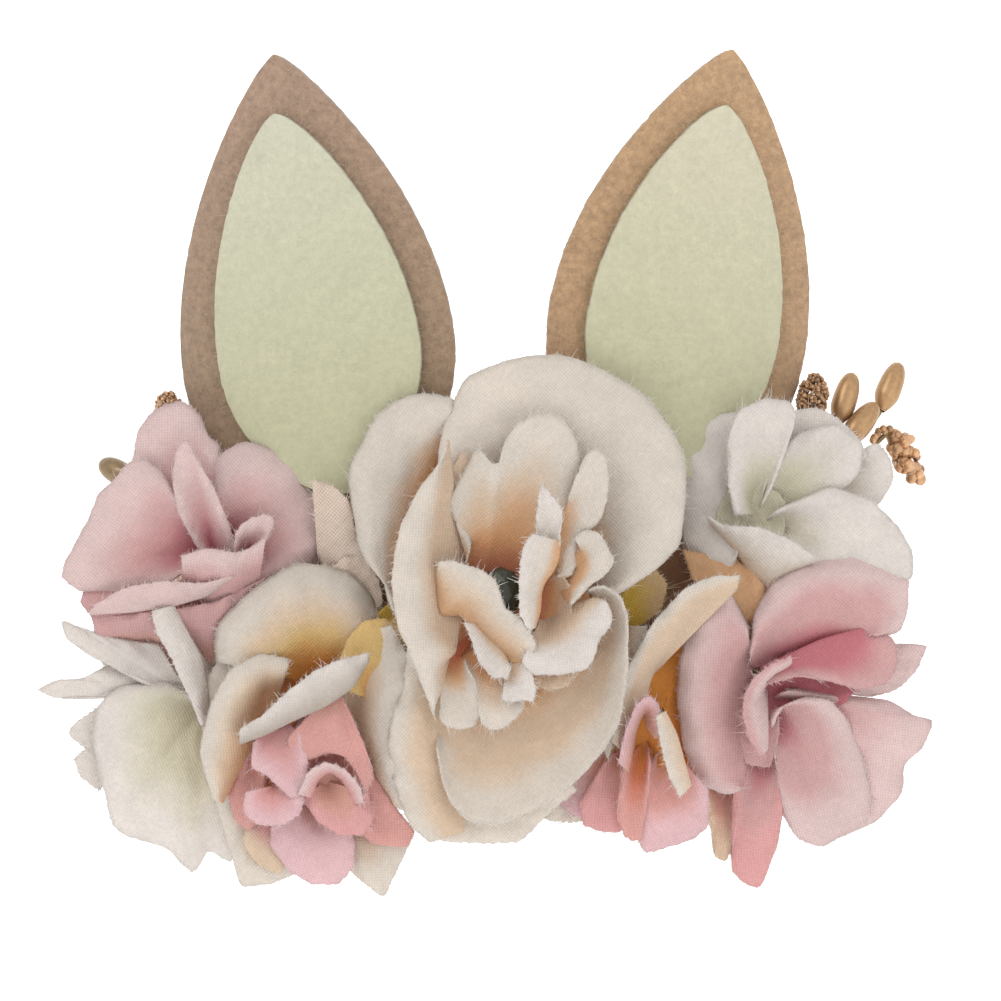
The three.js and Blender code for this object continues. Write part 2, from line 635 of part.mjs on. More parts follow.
layers.forEach(({ flower, layer }, at) => {
  const otherHubs = wasm.Manifold.union(hubClearance.filter((hub, other) => other !== at));
  const bare = petalSolids(layer, flower, 0).map((petal) => inFrame(petal, flower));
  const hub = inFrame(hubSolid(layer.hub, 0), flower);
  const whole = tidied(wasm.Manifold.union(bare).subtract(otherHubs).add(hub).subtract(taken));
  const frame = frames.get(flower.name);
  const local = whole.transform(frame.matrixWorld.clone().invert().elements);
  place(layer.name, local, cloth(layer.colour), frame);
  const grown = petalSolids(layer, flower, airGap).map((petal) => inFrame(petal, flower));
  const clearance = wasm.Manifold.union([...grown, hubClearance[at]]).asOriginal().simplify(tidySteps[0]);
  claim(clearance.add(whole));
});

export default headband;
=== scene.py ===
"""Bunny ear headband for a baby: a knitted band, two felt ears and a row of dyed cloth flowers.

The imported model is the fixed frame. Sizes are in millimetres and are turned into metres as each mesh is made.
The headband stands as it is worn, with the flowers towards -Y.
"""

import math

import bmesh
import bpy
import numpy as np
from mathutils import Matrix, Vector


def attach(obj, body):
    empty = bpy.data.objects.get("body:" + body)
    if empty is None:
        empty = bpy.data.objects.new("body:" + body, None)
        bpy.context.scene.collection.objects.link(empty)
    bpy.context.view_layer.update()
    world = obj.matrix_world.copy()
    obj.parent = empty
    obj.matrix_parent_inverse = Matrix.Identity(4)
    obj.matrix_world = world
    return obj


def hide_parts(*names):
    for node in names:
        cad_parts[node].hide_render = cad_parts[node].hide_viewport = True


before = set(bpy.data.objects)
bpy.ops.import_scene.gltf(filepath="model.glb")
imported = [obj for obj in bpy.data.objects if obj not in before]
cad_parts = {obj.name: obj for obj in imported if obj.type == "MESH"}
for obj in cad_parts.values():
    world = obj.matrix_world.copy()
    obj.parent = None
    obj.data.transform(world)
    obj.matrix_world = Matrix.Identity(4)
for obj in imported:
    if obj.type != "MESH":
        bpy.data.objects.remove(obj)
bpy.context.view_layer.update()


# Knitted band. A wide loop of soft nylon knit that goes round the head, with upright ribs
# and edges that roll a little to the inside. It is one plain loop, without a seam.
MM = 0.001
BAND_HEIGHT = 30
BAND_WALL = 1
BAND_BELLY = 0.8
BAND_ROLL = 0.35
BAND_HEM = 0.4
BAND_STEPS = 40
BAND_ROWS = 14
KNIT_THICKNESS = 0.8
FRONT_RADIUS = 95
FRONT_SWEEP = math.radians(27)
SIDE_RADIUS = 28
SIDE_SWEEP = math.radians(48)
BAND_TAN = (214, 188, 164)

side_offset = FRONT_RADIUS - SIDE_RADIUS
side_x = side_offset * math.sin(FRONT_SWEEP)
back_start = FRONT_SWEEP + SIDE_SWEEP
back_radius = SIDE_RADIUS + side_x / math.sin(back_start)
back_behind = side_offset * math.cos(FRONT_SWEEP) - side_x / math.tan(back_start)
front_centre_y = (FRONT_RADIUS + back_behind - back_radius) / 2
side_y = front_centre_y - side_offset * math.cos(FRONT_SWEEP)
back_centre_y = front_centre_y - back_behind


def linear_colour(colour):
    """A colour as seen on a screen, 0 to 255, as the linear colour that the shaders use."""
    share = np.asarray(colour, float) / 255
    return np.where(share <= 0.04045, share / 12.92, ((share + 0.055) / 1.055) ** 2.4)


def band_plan(steps):
    """Points round the middle of the band's loop and their outward directions, from the front middle."""
    arcs = (
        (0, front_centre_y, FRONT_RADIUS, 0, FRONT_SWEEP),
        (side_x, side_y, SIDE_RADIUS, FRONT_SWEEP, back_start),
        (0, back_centre_y, back_radius, back_start, math.pi),
    )
    points, ways = [], []
    for x, y, radius, first, last in arcs:
        count = max(2, round(steps * radius * (last - first) / 100))
        for angle in np.linspace(first, last, count, endpoint=False):
            way = (math.sin(angle), -math.cos(angle))
            points.append((x + radius * way[0], y + radius * way[1]))
            ways.append(way)
    points, ways = np.array(points), np.array(ways)
    flip = np.array([-1, 1])
    back = np.array([[0, back_centre_y + back_radius]])
    points = np.vstack([points, back, points[:0:-1] * flip])
    ways = np.vstack([ways, [[0, 1]], ways[:0:-1] * flip])
    return points, ways


def grid_faces(columns, rows):
    """The quads of a flat grid, its points in rows from s = 0 to 1 and from t = -1 to 1."""
    bm = bmesh.new()
    bmesh.ops.create_grid(bm, x_segments=columns, y_segments=rows, size=1)
    bm.verts.ensure_lookup_table()
    flat = np.array([v.co[:2] for v in bm.verts])
    order = np.lexsort((flat[:, 0], np.round(flat[:, 1], 5)))
    place = np.empty(len(order), int)
    place[order] = np.arange(len(order))
    faces = np.array([[place[v.index] for v in face.verts] for face in bm.faces])
    bm.free()
    t = np.tile(np.linspace(-1, 1, columns + 1), rows + 1)
    s = np.repeat(np.linspace(0, 1, rows + 1), columns + 1)
    return faces, s, t


def joined_mesh(name, parts, smooth=True):
    """One mesh from parts of points in mm, faces, thread lengths in mm and colours; some parts' colours carry
    painted shade and light.
    """
    mesh = bpy.data.meshes.new(name)
    faces, first = [], 0
    for part in parts:
        faces.append(part["faces"] + first)
        first += len(part["points"])
    faces = np.vstack(faces)
    mesh.vertices.add(first)
    mesh.vertices.foreach_set("co", (np.vstack([p["points"] for p in parts]) * MM).ravel())
    mesh.loops.add(faces.size)
    mesh.loops.foreach_set("vertex_index", faces.ravel())
    mesh.polygons.add(len(faces))
    mesh.polygons.foreach_set("loop_start", np.arange(0, faces.size, faces.shape[1]))
    mesh.update(calc_edges=True)
    threads = np.vstack([p["threads"] for p in parts])
    mesh.uv_layers.new(name="threads").data.foreach_set("uv", threads[faces.ravel()].ravel())
    surface_colours = np.vstack([np.column_stack([p["surface_colours"], np.ones(len(p["surface_colours"]))]) for p in parts])
    mesh.color_attributes.new("linear_colour", "FLOAT_COLOR", "POINT").data.foreach_set("color", surface_colours.ravel())
    mesh.polygons.foreach_set("use_smooth", np.full(len(faces), smooth))
    mesh.validate()
    return mesh


def new_piece(name, mesh, material):
    """The mesh as a piece of the headband that rides on its one body."""
    piece = bpy.data.objects.new(name, mesh)
    bpy.context.scene.collection.objects.link(piece)
    mesh.materials.append(material)
    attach(piece, "root")
    return piece


def thicken(piece, thickness):
    """A wall of the given thickness in mm, half of it to each side of the sheet."""
    wall = piece.modifiers.new("wall", "SOLIDIFY")
    wall.thickness = thickness * MM
    wall.offset = 0


def add_node(tree, kind, inputs=(), **settings):
    """A shader node with its settings, and its inputs set to a value or linked to another node's socket."""
    node = tree.nodes.new(kind)
    for key, value in settings.items():
        setattr(node, key, value)
    for key, value in dict(inputs).items():
        if isinstance(value, bpy.types.NodeSocket):
            tree.links.new(value, node.inputs[key])
        else:
            node.inputs[key].default_value = value
    return node


def new_material(name):
    material = bpy.data.materials.new(name)
    material.use_nodes = True
    material.node_tree.nodes.clear()
    return material, material.node_tree


def finished(material, shader):
    """The material, with the shader as its surface."""
    add_node(material.node_tree, "ShaderNodeOutputMaterial", {"Surface": shader.outputs[0]})
    return material


def threads_across(tree, place, way, scale, distortion, detail_scale=1):
    """Soft bands, like threads side by side, counted along one way of a place."""
    inputs = {"Vector": place, "Scale": scale, "Distortion": distortion, "Detail": 1, "Detail Scale": detail_scale}
    return add_node(tree, "ShaderNodeTexWave", inputs, bands_direction=way).outputs["Fac"]


def worked_out(tree, operation, *values):
    """What a math node makes of its values."""
    return add_node(tree, "ShaderNodeMath", enumerate(values), operation=operation).outputs[0]


def ranged(tree, value, low, high, least, most):
    """A value between low and high, moved to between least and most."""
    inputs = {"Value": value, 1: low, 2: high, 3: least, 4: most}
    return add_node(tree, "ShaderNodeMapRange", inputs).outputs[0]


def toned_colour(tree, shade):
    """The piece's colour at each point, made darker or paler by a tone: random unevenness in some materials,
    painted shade and light in the knit and the woven cloth.
    """
    own_colour = add_node(tree, "ShaderNodeAttribute", attribute_name="linear_colour")
    inputs = {0: own_colour.outputs["Color"], 1: shade}
    return add_node(tree, "ShaderNodeVectorMath", inputs, operation="MULTIPLY").outputs[0]


def bumped(tree, height, strength, distance):
    """The surface's direction where a pattern raises it, by a distance in metres at most."""
    inputs = {"Height": height, "Strength": strength, "Distance": distance}
    return add_node(tree, "ShaderNodeBump", inputs).outputs[0]


def knit_material(name):
    """Soft stretch knit: upright ribs of small stitches, with painted shade a little darker in the grooves and
    painted light a little paler on the rib tops.
    """
    material, tree = new_material(name)
    place = add_node(tree, "ShaderNodeUVMap", uv_map="threads").outputs[0]
    ribs = threads_across(tree, place, "X", 0.33, 0.4)
    courses = threads_across(tree, place, "Y", 0.5, 0.6)
    height = worked_out(tree, "ADD", ribs, worked_out(tree, "MULTIPLY", ribs, courses))
    # Painted shade in the grooves between the ribs, painted light on the rib tops.
    surface = add_node(
        tree, "ShaderNodeBsdfPrincipled",
        {"Base Color": toned_colour(tree, ranged(tree, height, 0, 2, 0.78, 1.06)), "Roughness": 0.8,
         "Sheen Weight": 0.2, "Normal": bumped(tree, height, 0.5, 0.0003)},
    )
    return finished(material, surface)


def lengths_along(line):
    """How far each point of a line is from its start, measured along the line."""
    return np.concatenate([[0], np.cumsum(np.linalg.norm(np.diff(line, axis=0), axis=1))])


plan, outward = band_plan(BAND_STEPS)
around = len(plan)
faces, s, t = grid_faces(around, BAND_ROWS)
step_round = np.round((t + 1) / 2 * around).astype(int)
at = step_round % around
level = 2 * s - 1
belly = BAND_WALL / 2 + BAND_BELLY * (1 - level**2) - BAND_ROLL * np.abs(level) ** 14
loop_lengths = lengths_along(np.vstack([plan, plan[:1]]))
points = np.column_stack([plan[at] + outward[at] * belly[:, None], level * (BAND_HEIGHT / 2 - BAND_HEM)])
band_mesh = joined_mesh("knitted_band", [{
    "points": points,
    "faces": faces,
    "threads": np.column_stack([loop_lengths[step_round], level * BAND_HEIGHT / 2]),
    "surface_colours": np.tile(linear_colour(BAND_TAN), (len(points), 1)),
}])
bm = bmesh.new()
bm.from_mesh(band_mesh)
bmesh.ops.remove_doubles(bm, verts=bm.verts, dist=0.01 * MM)
bmesh.ops.recalc_face_normals(bm, faces=bm.faces)
bm.to_mesh(band_mesh)
bm.free()
band = new_piece("knitted_band", band_mesh, knit_material("knitted nylon"))
thicken(band, KNIT_THICKNESS)
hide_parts("band")


# Felt backing. A long strip of brown craft felt with rounded ends, glued to the front of the band,
# which the ears, the flowers and the sprigs are glued to in turn.
BACKING_LENGTH = 104
BACKING_HEIGHT = 42
BACKING_END = 6
BACKING_THICKNESS = 2
BACKING_INNER = 97.1
GLUE_GAP = 0.1
FELT_EDGE = 0.22
FELT_BROWN = (140, 102, 74)


def on_arc(along, z, radius, measured_at=None):
    """A point in front of the band: along is measured on the arc of the given radius."""
    angle = along / (measured_at or radius)
    return np.stack([radius * np.sin(angle), front_centre_y - radius * np.cos(angle), z + 0 * angle], -1)


def soft_noise(where, seed, size, octaves=3):
    """Smooth noise between about -1 and 1 over points in mm, with lumps of the given size in mm."""
    random = np.random.default_rng(seed)
    total = np.zeros(len(where))
    for octave in range(octaves):
        for _ in range(5):
            way = random.normal(size=where.shape[1])
            way *= 2 * math.pi / (size * np.linalg.norm(way)) * 2**octave * random.uniform(0.7, 1.3)
            total += np.sin(where @ way + random.uniform(0, 2 * math.pi)) / (5**0.5 * 1.6**octave)
    return total


def noise(tree, place, scale, detail, roughness=0.5, distortion=0):
    """Cloudy noise over a place."""
    inputs = {"Vector": place, "Scale": scale, "Detail": detail, "Roughness": roughness, "Distortion": distortion}
    return add_node(tree, "ShaderNodeTexNoise", inputs)


def felt_material(name, depth=0.13):
    """Pressed wool felt: matted fibres, cloudy colour, a soft nap and a slightly lumpy face."""
    material, tree = new_material(name)
    place = add_node(tree, "ShaderNodeTexCoord").outputs["Object"]
    clouds = noise(tree, place, 900, 5, 0.65).outputs["Fac"]
    hairs = noise(tree, place, 3000, 3, 0.75, 1.6).outputs["Fac"]
    mixed = worked_out(tree, "ADD", clouds, hairs)
    surface = add_node(
        tree, "ShaderNodeBsdfPrincipled",
        {"Base Color": toned_colour(tree, ranged(tree, mixed, 0.75, 1.25, 1 - depth, 1 + depth)), "Roughness": 0.95,
         "Sheen Weight": 0.35, "Sheen Roughness": 0.6, "Specular IOR Level": 0.2,
         "Normal": bumped(tree, mixed, 0.55, 0.0004)},
    )
    return finished(material, surface)


def felt_piece(name, points, faces, threads, surface_colours, thickness, slot):
    """A cut felt shape of the given thickness with softened edges."""
    parts = [{"points": points, "faces": faces, "threads": threads, "surface_colours": surface_colours}]
    piece = new_piece(name, joined_mesh(name, parts), felt_materials[slot])
    thicken(piece, thickness)
    edge = piece.modifiers.new("edge", "BEVEL")
    edge.width = FELT_EDGE * thickness * MM
    edge.segments = 2
    edge.limit_method = "ANGLE"
    edge.angle_limit = math.radians(50)
    return piece


felt_materials = {
    "backing_felt": felt_material("backing felt"),
    "ear_felt": felt_material("ear felt", 0.3),
    "inner_felt": felt_material("inner ear felt", 0.1),
}
faces, s, t = grid_faces(16, 60)
along = (s - 0.5) * BACKING_LENGTH
from_end = BACKING_LENGTH / 2 - np.abs(along)
in_round = np.clip(BACKING_END - from_end, 0, None) / BACKING_END
half = BACKING_HEIGHT / 2 - BACKING_END * (1 - np.sqrt(np.clip(1 - in_round**2, 0, 1)))
flat = np.column_stack([along, t * half])
middle = BACKING_INNER + BACKING_THICKNESS / 2
clouds = 1 + 0.06 * soft_noise(flat, 3, 14)
backing = felt_piece(
    "brown_felt_backing", on_arc(along, t * half, middle), faces, flat,
    linear_colour(FELT_BROWN) * clouds[:, None], BACKING_THICKNESS - GLUE_GAP, "backing_felt",
)
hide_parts("felt_backing")


# Ears. Each is a leaf of tan felt with a smaller leaf of pale green felt glued to its face,
# tucked at the foot behind the flowers and glued to the backing. Their colours carry painted shade:
# each felt is darker at its foot, under the flowers, and the left ear is darker than the right.
EAR_LENGTH = 75
EAR_WIDTH = 43.6
EAR_COLUMNS = 24
EAR_ROWS = 80
OUTER_FELT = 2
OUTER_TIP = 0.8
OUTER_EAR_FACE = 99.4
INNER_FELT = 1.5
INNER_TIP = 0.7
INNER_EAR_FACE = 101.7
INNER_LENGTH = 59.5
INNER_DROP = 9
INNER_BORDER = 5.6
HAIRS_EACH_MM = 9
EARS = {
    "left": {
        "along": -25.2, "foot": 9.5, "width": 1.012, "widest": 0.62, "lean": 7.6,
        "inner_along": 2.5, "inner_width": 0.965, "inner_lean": 2.5,
    },
    "right": {
        "along": 22.3, "foot": 10.9, "width": 0.955, "widest": 0.585, "lean": -10.5,
        "inner_along": -0.1, "inner_width": 0.99, "inner_lean": 0,
    },
}
# The felts' tan and green, with painted shade: the foot colours are darker than the tip colours, and the left ear's
# colours are darker than the right ear's.
EAR_TAN_FOOT_PAINTED_SHADE = {"left": (146, 122, 97), "right": (167, 135, 102)}
EAR_TAN_TIP_PAINTED_SIDE_SHADE = {"left": (157, 130, 109), "right": (178, 144, 108)}
EAR_GREEN_TIP_PAINTED_SIDE_SHADE = {"left": (196, 194, 172), "right": (202, 196, 172)}
EAR_GREEN_FOOT_PAINTED_SHADE = (182, 180, 148)
TO_FRONT = np.array([0.0, -1.0, 0.0])


def ear_leaf(ear, length, width, drop, tip_power, radius, thickness, seed):
    """Points of a leaf of felt on the arc, with how far across and how far up the ear each is."""
    lean = math.radians(ear["lean"] + (ear["inner_lean"] if drop else 0))
    from_tip = (1 - ear_s) * length
    widest = ear["widest"] * EAR_LENGTH - drop
    above = np.sin(np.pi / 2 * np.clip(from_tip / widest, 0.0002, 1)) ** tip_power
    below = np.clip((from_tip - widest) / (length - widest), 0, 0.97)
    half = width / 2 * above * np.cos(np.pi / 2 * below) ** 0.6
    cut = 0.05 * soft_noise(np.column_stack([ear_s * length, ear_t * 4]), seed, 3)
    across = ear_t * (half + cut * np.minimum(half, 1))
    up = EAR_LENGTH - drop - from_tip
    shift = ear["inner_along"] if drop else 0
    along = ear["along"] + shift + across * math.cos(lean) - up * math.sin(lean)
    z = ear["foot"] + across * math.sin(lean) + up * math.cos(lean)
    return on_arc(along, z, radius + thickness / 2, OUTER_EAR_FACE), np.column_stack([across, up])


def template(shape, **sizes):
    """The points and triangles of one small shape made by a mesh operator."""
    bm = bmesh.new()
    shape(bm, **sizes)
    bmesh.ops.triangulate(bm, faces=bm.faces)
    points = np.array([v.co[:] for v in bm.verts])
    faces = np.array([[v.index for v in face.verts] for face in bm.faces])
    bm.free()
    return points, faces


def frame_along(way):
    """Two directions square to way, which is one direction or many."""
    side = np.cross(way, np.array([0.31, 0.77, 0.55]))
    side /= np.linalg.norm(side, axis=-1, keepdims=True)
    return side, np.cross(way, side)


fibre_points, fibre_faces = template(
    bmesh.ops.create_cone, segments=3, radius1=1, radius2=0.4, depth=1, cap_ends=False
)


def fibres(starts, ways, lengths, radii, colours, bends):
    """Short loose threads as one part: each leaves its start along its way and bends a little."""
    one, two = frame_along(ways)
    up = fibre_points[:, 2] + 0.5
    x, y = fibre_points[:, 0], fibre_points[:, 1]
    points = (
        starts[:, None]
        + radii[:, None, None] * (one[:, None] * x[None, :, None] + two[:, None] * y[None, :, None])
        + lengths[:, None, None] * up[None, :, None] * (ways[:, None] + bends[:, None] * up[None, :, None])
    )
    count, each = len(starts), len(fibre_points)
    faces = (fibre_faces[None] + each * np.arange(count)[:, None, None]).reshape(-1, 3)
    points = points.reshape(-1, 3)
    return {
        "points": points, "faces": faces, "threads": points[:, :2], "surface_colours": np.repeat(colours, each, axis=0),
    }


def read_along(spots, lengths, values):
    """Rows of values, known at the given lengths along a line, as they are at the spots."""
    return np.stack([np.interp(spots, lengths, column) for column in values.T], 1)


def felt_hairs(line, away, surface_colours, thickness, seed):
    """Short hairs standing out of the cut edge of a piece of felt, along a line of points in mm."""
    random = np.random.default_rng(seed)
    along = lengths_along(line)
    count = int(along[-1] * HAIRS_EACH_MM)
    spots = random.uniform(0, along[-1], count)
    starts, ways, colours = (read_along(spots, along, values) for values in (line, away, surface_colours))
    starts = starts + TO_FRONT * random.uniform(-0.45, 0.45, count)[:, None] * thickness
    ways = ways / np.linalg.norm(ways, axis=1, keepdims=True) + random.normal(scale=0.5, size=ways.shape)
    ways /= np.linalg.norm(ways, axis=1, keepdims=True)
    lengths = 0.2 + random.exponential(0.26, count).clip(0, 1.1)
    bends = random.normal(scale=0.5, size=(count, 3))
    return fibres(starts - ways * 0.1, ways, lengths, random.uniform(0.018, 0.035, count), colours * 1.05, bends)


ear_faces, ear_s, ear_t = grid_faces(EAR_COLUMNS, EAR_ROWS)
ear_s = 1 - (1 - ear_s) ** 1.35
ear_shape = (EAR_ROWS + 1, EAR_COLUMNS + 1, -1)
for number, (side, ear) in enumerate(EARS.items()):
    whole = ear["width"] * EAR_WIDTH
    inner = (whole - 2 * INNER_BORDER) * ear["inner_width"]
    leaves = (
        ("outer", EAR_LENGTH, whole, 0, OUTER_TIP, OUTER_EAR_FACE, OUTER_FELT),
        ("inner", INNER_LENGTH, inner, INNER_DROP, INNER_TIP, INNER_EAR_FACE, INNER_FELT),
    )
    for leaf, length, width, drop, power, radius, thickness in leaves:
        points, flat = ear_leaf(ear, length, width, drop, power, radius, thickness, 10 + number)
        # Painted shade: each felt blends from a darker colour at its foot, where the flowers shade it, to a paler
        # one towards its tip.
        share = np.clip((flat[:, 1] - 20) / 50, 0, 1)[:, None]
        if leaf == "outer":
            foot_shaded_colour, tip_colour = EAR_TAN_FOOT_PAINTED_SHADE[side], EAR_TAN_TIP_PAINTED_SIDE_SHADE[side]
            name, slot, under = f"ear_{side}_tan_felt", "ear_felt", "brown_felt_backing"
        else:
            foot_shaded_colour, tip_colour = EAR_GREEN_FOOT_PAINTED_SHADE, EAR_GREEN_TIP_PAINTED_SIDE_SHADE[side]
            name, slot, under = f"ear_{side}_green_felt", "inner_felt", f"ear_{side}_tan_felt"
        surface_colours = linear_colour(foot_shaded_colour) * (1 - share) + linear_colour(tip_colour) * share
        surface_colours = surface_colours * (1 + 0.012 * soft_noise(flat, 20 + number, 9))[:, None]
        piece = felt_piece(name, points, ear_faces, flat, surface_colours, thickness - GLUE_GAP, slot)
        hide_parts(f"ear_{side}_{leaf}")
        cells, grid, edge_colours = (values.reshape(ear_shape) for values in (flat, points, surface_colours))
        fuzz = [
            felt_hairs(grid[:, edge], grid[:, edge] - grid[:, edge + inward], edge_colours[:, edge], thickness,
                       30 + number + edge)
            for edge, inward in ((0, 1), (EAR_COLUMNS, -1))
        ]
        hair_mesh = joined_mesh(f"{name}_hairs", fuzz)
        hair = new_piece(name.replace("felt", "hairs"), hair_mesh, felt_materials[slot])


# Sprigs. Wired stamens with gold pips, clusters of tiny gold berries and glitter buds,
# their stems glued to the backing behind the flowers.
STEM_RADIUS = 0.5
STEM_STAND = 4
WIRE_RADIUS = 0.42
WIRE_STEPS = 9
PIP_RADIUS = 1.95
PIP_WIDEST = 0.36
HEAD_LENGTHS = {"pip": 8.6, "berries": 10.4, "glitter": 7.2}
LEFT_PIP_LENGTH = 7
BERRY_HEAD = (56, 0.95, 3.2, 12)
GLITTER_HEAD = (560, 0.36, 2.75, 8.6)
SPRIGS = {
    "gold_pip_left": ("pip", -0.86, 0.5, -1.105, 0.86, 66, 1.4),
    "glitter_sprig_left": ("glitter", -0.8, 0.66, -0.97, 1.14, 16, 1),
    "glitter_sprig_right": ("glitter", 0.74, 0.78, 0.915, 1.26, -12, 1),
    "gold_pip_right_1": ("pip", 0.8, 0.72, 1.018, 1.28, -20, 1),
    "gold_pip_right_2": ("pip", 0.88, 0.62, 1.162, 1.38, -27, 1.2),
    "gold_pip_right_3": ("pip", 0.84, 0.66, 1.02, 1.14, -44, 1.5),
    "berry_sprig": ("berries", 0.93, 0.4, 1.19, 1.27, -143, 1.2),
}
GOLD = (176, 140, 100)
OLD_GOLD = (140, 118, 88)
BERRY_GOLD = (198, 156, 118)
GLITTER_BROWN = (176, 140, 108)
STEM_OLIVE = (122, 104, 66)


def metal_material(name, metallic, roughness, grain, rough_grain):
    """Pearl paint: a metallic sheen with fine grain that breaks up the gloss."""
    material, tree = new_material(name)
    place = add_node(tree, "ShaderNodeTexCoord").outputs["Object"]
    specks = noise(tree, place, grain, 4, 0.7).outputs["Fac"]
    surface = add_node(
        tree, "ShaderNodeBsdfPrincipled",
        {"Base Color": toned_colour(tree, ranged(tree, specks, 0.3, 0.7, 0.82, 1.15)), "Metallic": metallic,
         "Roughness": ranged(tree, specks, 0.3, 0.7, roughness - rough_grain, roughness + rough_grain),
         "Normal": bumped(tree, specks, 0.3, 0.0001)},
    )
    return finished(material, surface)


def part_of(points, faces, colour):
    """A part for joined_mesh in one dye, with its own points as thread lengths."""
    colours = np.broadcast_to(np.asarray(colour, float), (len(points), 3))
    return {"points": points, "faces": faces, "threads": points[:, :2], "surface_colours": colours}


def tube_part(line, radii, colour, sides=8):
    """A round tube along a line of points in mm, with its ends drawn to a point if the radius is small."""
    line, radii = np.asarray(line, float), np.asarray(radii, float)
    faces, s, t = grid_faces(sides, len(line) - 1)
    ways = np.gradient(line, axis=0)
    ways /= np.linalg.norm(ways, axis=1, keepdims=True)
    one, two = frame_along(ways)
    ring = np.round(s * (len(line) - 1)).astype(int)
    turn = (t + 1) * np.pi
    round_it = one[ring] * np.cos(turn)[:, None] + two[ring] * np.sin(turn)[:, None]
    points = line[ring] + round_it * radii[ring][:, None]
    triangles = np.vstack([faces[:, [0, 1, 2]], faces[:, [0, 2, 3]]])
    return part_of(points, triangles, colour)


bead_points, bead_faces = template(bmesh.ops.create_icosphere, subdivisions=2, radius=1)
grain_points, grain_faces = template(bmesh.ops.create_icosphere, subdivisions=1, radius=1)
gold_material = metal_material("gold pearl paint", 0.55, 0.34, 1500, 0.06)
glitter_material = metal_material("brown glitter", 0.75, 0.4, 3200, 0.25)
flat_radius = OUTER_EAR_FACE + STEM_RADIUS
half_length, half_height = BACKING_LENGTH / 2, BACKING_HEIGHT / 2
for number, (name, (head, foot, foot_height, along, height, lean, stand)) in enumerate(SPRIGS.items()):
    random = np.random.default_rng(60 + number)
    start = on_arc(np.array(foot * half_length), foot_height * half_height, flat_radius)
    neck_radius = flat_radius + STEM_STAND * stand
    neck = on_arc(np.array(along * half_length), height * half_height, neck_radius, flat_radius)
    tilt, angle = -math.radians(lean), along * half_length / flat_radius
    aim = np.array([math.sin(tilt) * math.cos(angle), math.sin(tilt) * math.sin(angle), math.cos(tilt)])
    head_length = LEFT_PIP_LENGTH if name == "gold_pip_left" else HEAD_LENGTHS[head]
    bend = neck - aim * head_length / 2
    if head == "berries":
        bend = neck - (3.6 * math.cos(angle), 3.6 * math.sin(angle), 2.6)
    share = np.linspace(0, 1, WIRE_STEPS)[:, None]
    wire = start * (1 - share) ** 2 + 2 * bend * share * (1 - share) + (neck + aim) * share**2
    parts = [tube_part(wire, np.full(WIRE_STEPS, WIRE_RADIUS), linear_colour(STEM_OLIVE), 6)]
    one, two = frame_along(aim)
    if head == "pip":
        up = np.linspace(0, 1, 19)
        below = 0.34 + 0.66 * np.sin(np.pi / 2 * np.minimum(up / PIP_WIDEST, 1))
        above = np.clip((up - PIP_WIDEST) / (1 - PIP_WIDEST), 0, 1)
        profile = PIP_RADIUS * below * np.sqrt(1 - above**2.6)
        gold = OLD_GOLD if name == "gold_pip_left" else GOLD
        parts.append(tube_part(neck + aim * (up * head_length)[:, None], profile, linear_colour(gold), 20))
    else:
        berries = head == "berries"
        count, bead, wide, long = BERRY_HEAD if berries else GLITTER_HEAD
        points, faces = (bead_points, bead_faces) if berries else (grain_points, grain_faces)
        tone = linear_colour(BERRY_GOLD if berries else GLITTER_BROWN)
        place = random.normal(size=(count, 3))
        place /= np.linalg.norm(place, axis=1, keepdims=True)
        place = place * random.uniform(0.72, 1, (count, 1)) * (wide - bead, wide - bead, long / 2 - bead)
        if berries:
            swell = 0.72 + 0.28 * np.sin(place[:, 2] * 2.1)
            place[:, :2] *= swell[:, None]
        for spot in place:
            size = bead * random.uniform(0.75, 1.15) * random.uniform(0.85, 1.15, 3)
            local = points * size + spot + (0, 0, long / 2)
            placed = neck + local[:, :1] * one + local[:, 1:2] * two + local[:, 2:] * aim
            parts.append(part_of(placed, faces, tone * random.uniform(0.65, 1.3)))
        for share in np.linspace(0.05, 1, 9) if berries else ():
            spot = neck + (bend - neck) * share + random.normal(scale=0.3, size=3)
            parts.append(part_of(spot + points * 0.62, faces, tone * random.uniform(0.6, 1.1)))
    mesh = joined_mesh(name, parts, smooth=head != "glitter")
    material = glitter_material if head == "glitter" else gold_material
    piece = new_piece(f"{name}_detail", mesh, material)
    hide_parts(name)


# Flower hubs. Each flower's petals are threaded on a short moulded stalk end,
# which is glued to the backing and hides behind the petals.
SEAT_RADIUS = 99.4
HUB_REACH = 3.6
HUB_PROFILE = (1.6, 2.4, 2.6, 2.2, 1.4, 0.05)
FLOWERS = {
    "rose": (1.4, 0, 0),
    "pink_right": (42.4, -10.5, 0.6),
    "orange_right": (21.6, -14, 0.6),
    "pink_left": (-45, 6.75, 0.6),
    "orange_left": (-30.5, -14.5, 0.6),
    "white_left": (-45, -10.5, 0.6),
    "white_right": (43, 12.75, 0.6),
    "left_leaves": (-16.1, 3.15, 1),
    "right_leaves": (23, 0.5, 1),
}
HUB_GREEN = (128, 112, 72)


def flower_frame(flower):
    """The seat of a flower and its own directions: right, up and out of the flower."""
    along, height, facing = FLOWERS[flower]
    seat = on_arc(np.array(float(along)), height, SEAT_RADIUS)
    angle = along / SEAT_RADIUS * facing
    right = np.array([math.cos(angle), math.sin(angle), 0])
    return seat, np.array([right, [0, 0, 1], [math.sin(angle), -math.cos(angle), 0]])


parts = []
for flower in FLOWERS:
    seat, axes = flower_frame(flower)
    deep = np.linspace(0.1, HUB_REACH, len(HUB_PROFILE))
    parts.append(tube_part(seat + deep[:, None] * axes[2], HUB_PROFILE, linear_colour(HUB_GREEN), 12))
hub_material = metal_material("moulded green hubs", 0.0, 0.5, 900, 0.05)
new_piece("flower_hubs", joined_mesh("flower_hubs", parts), hub_material)
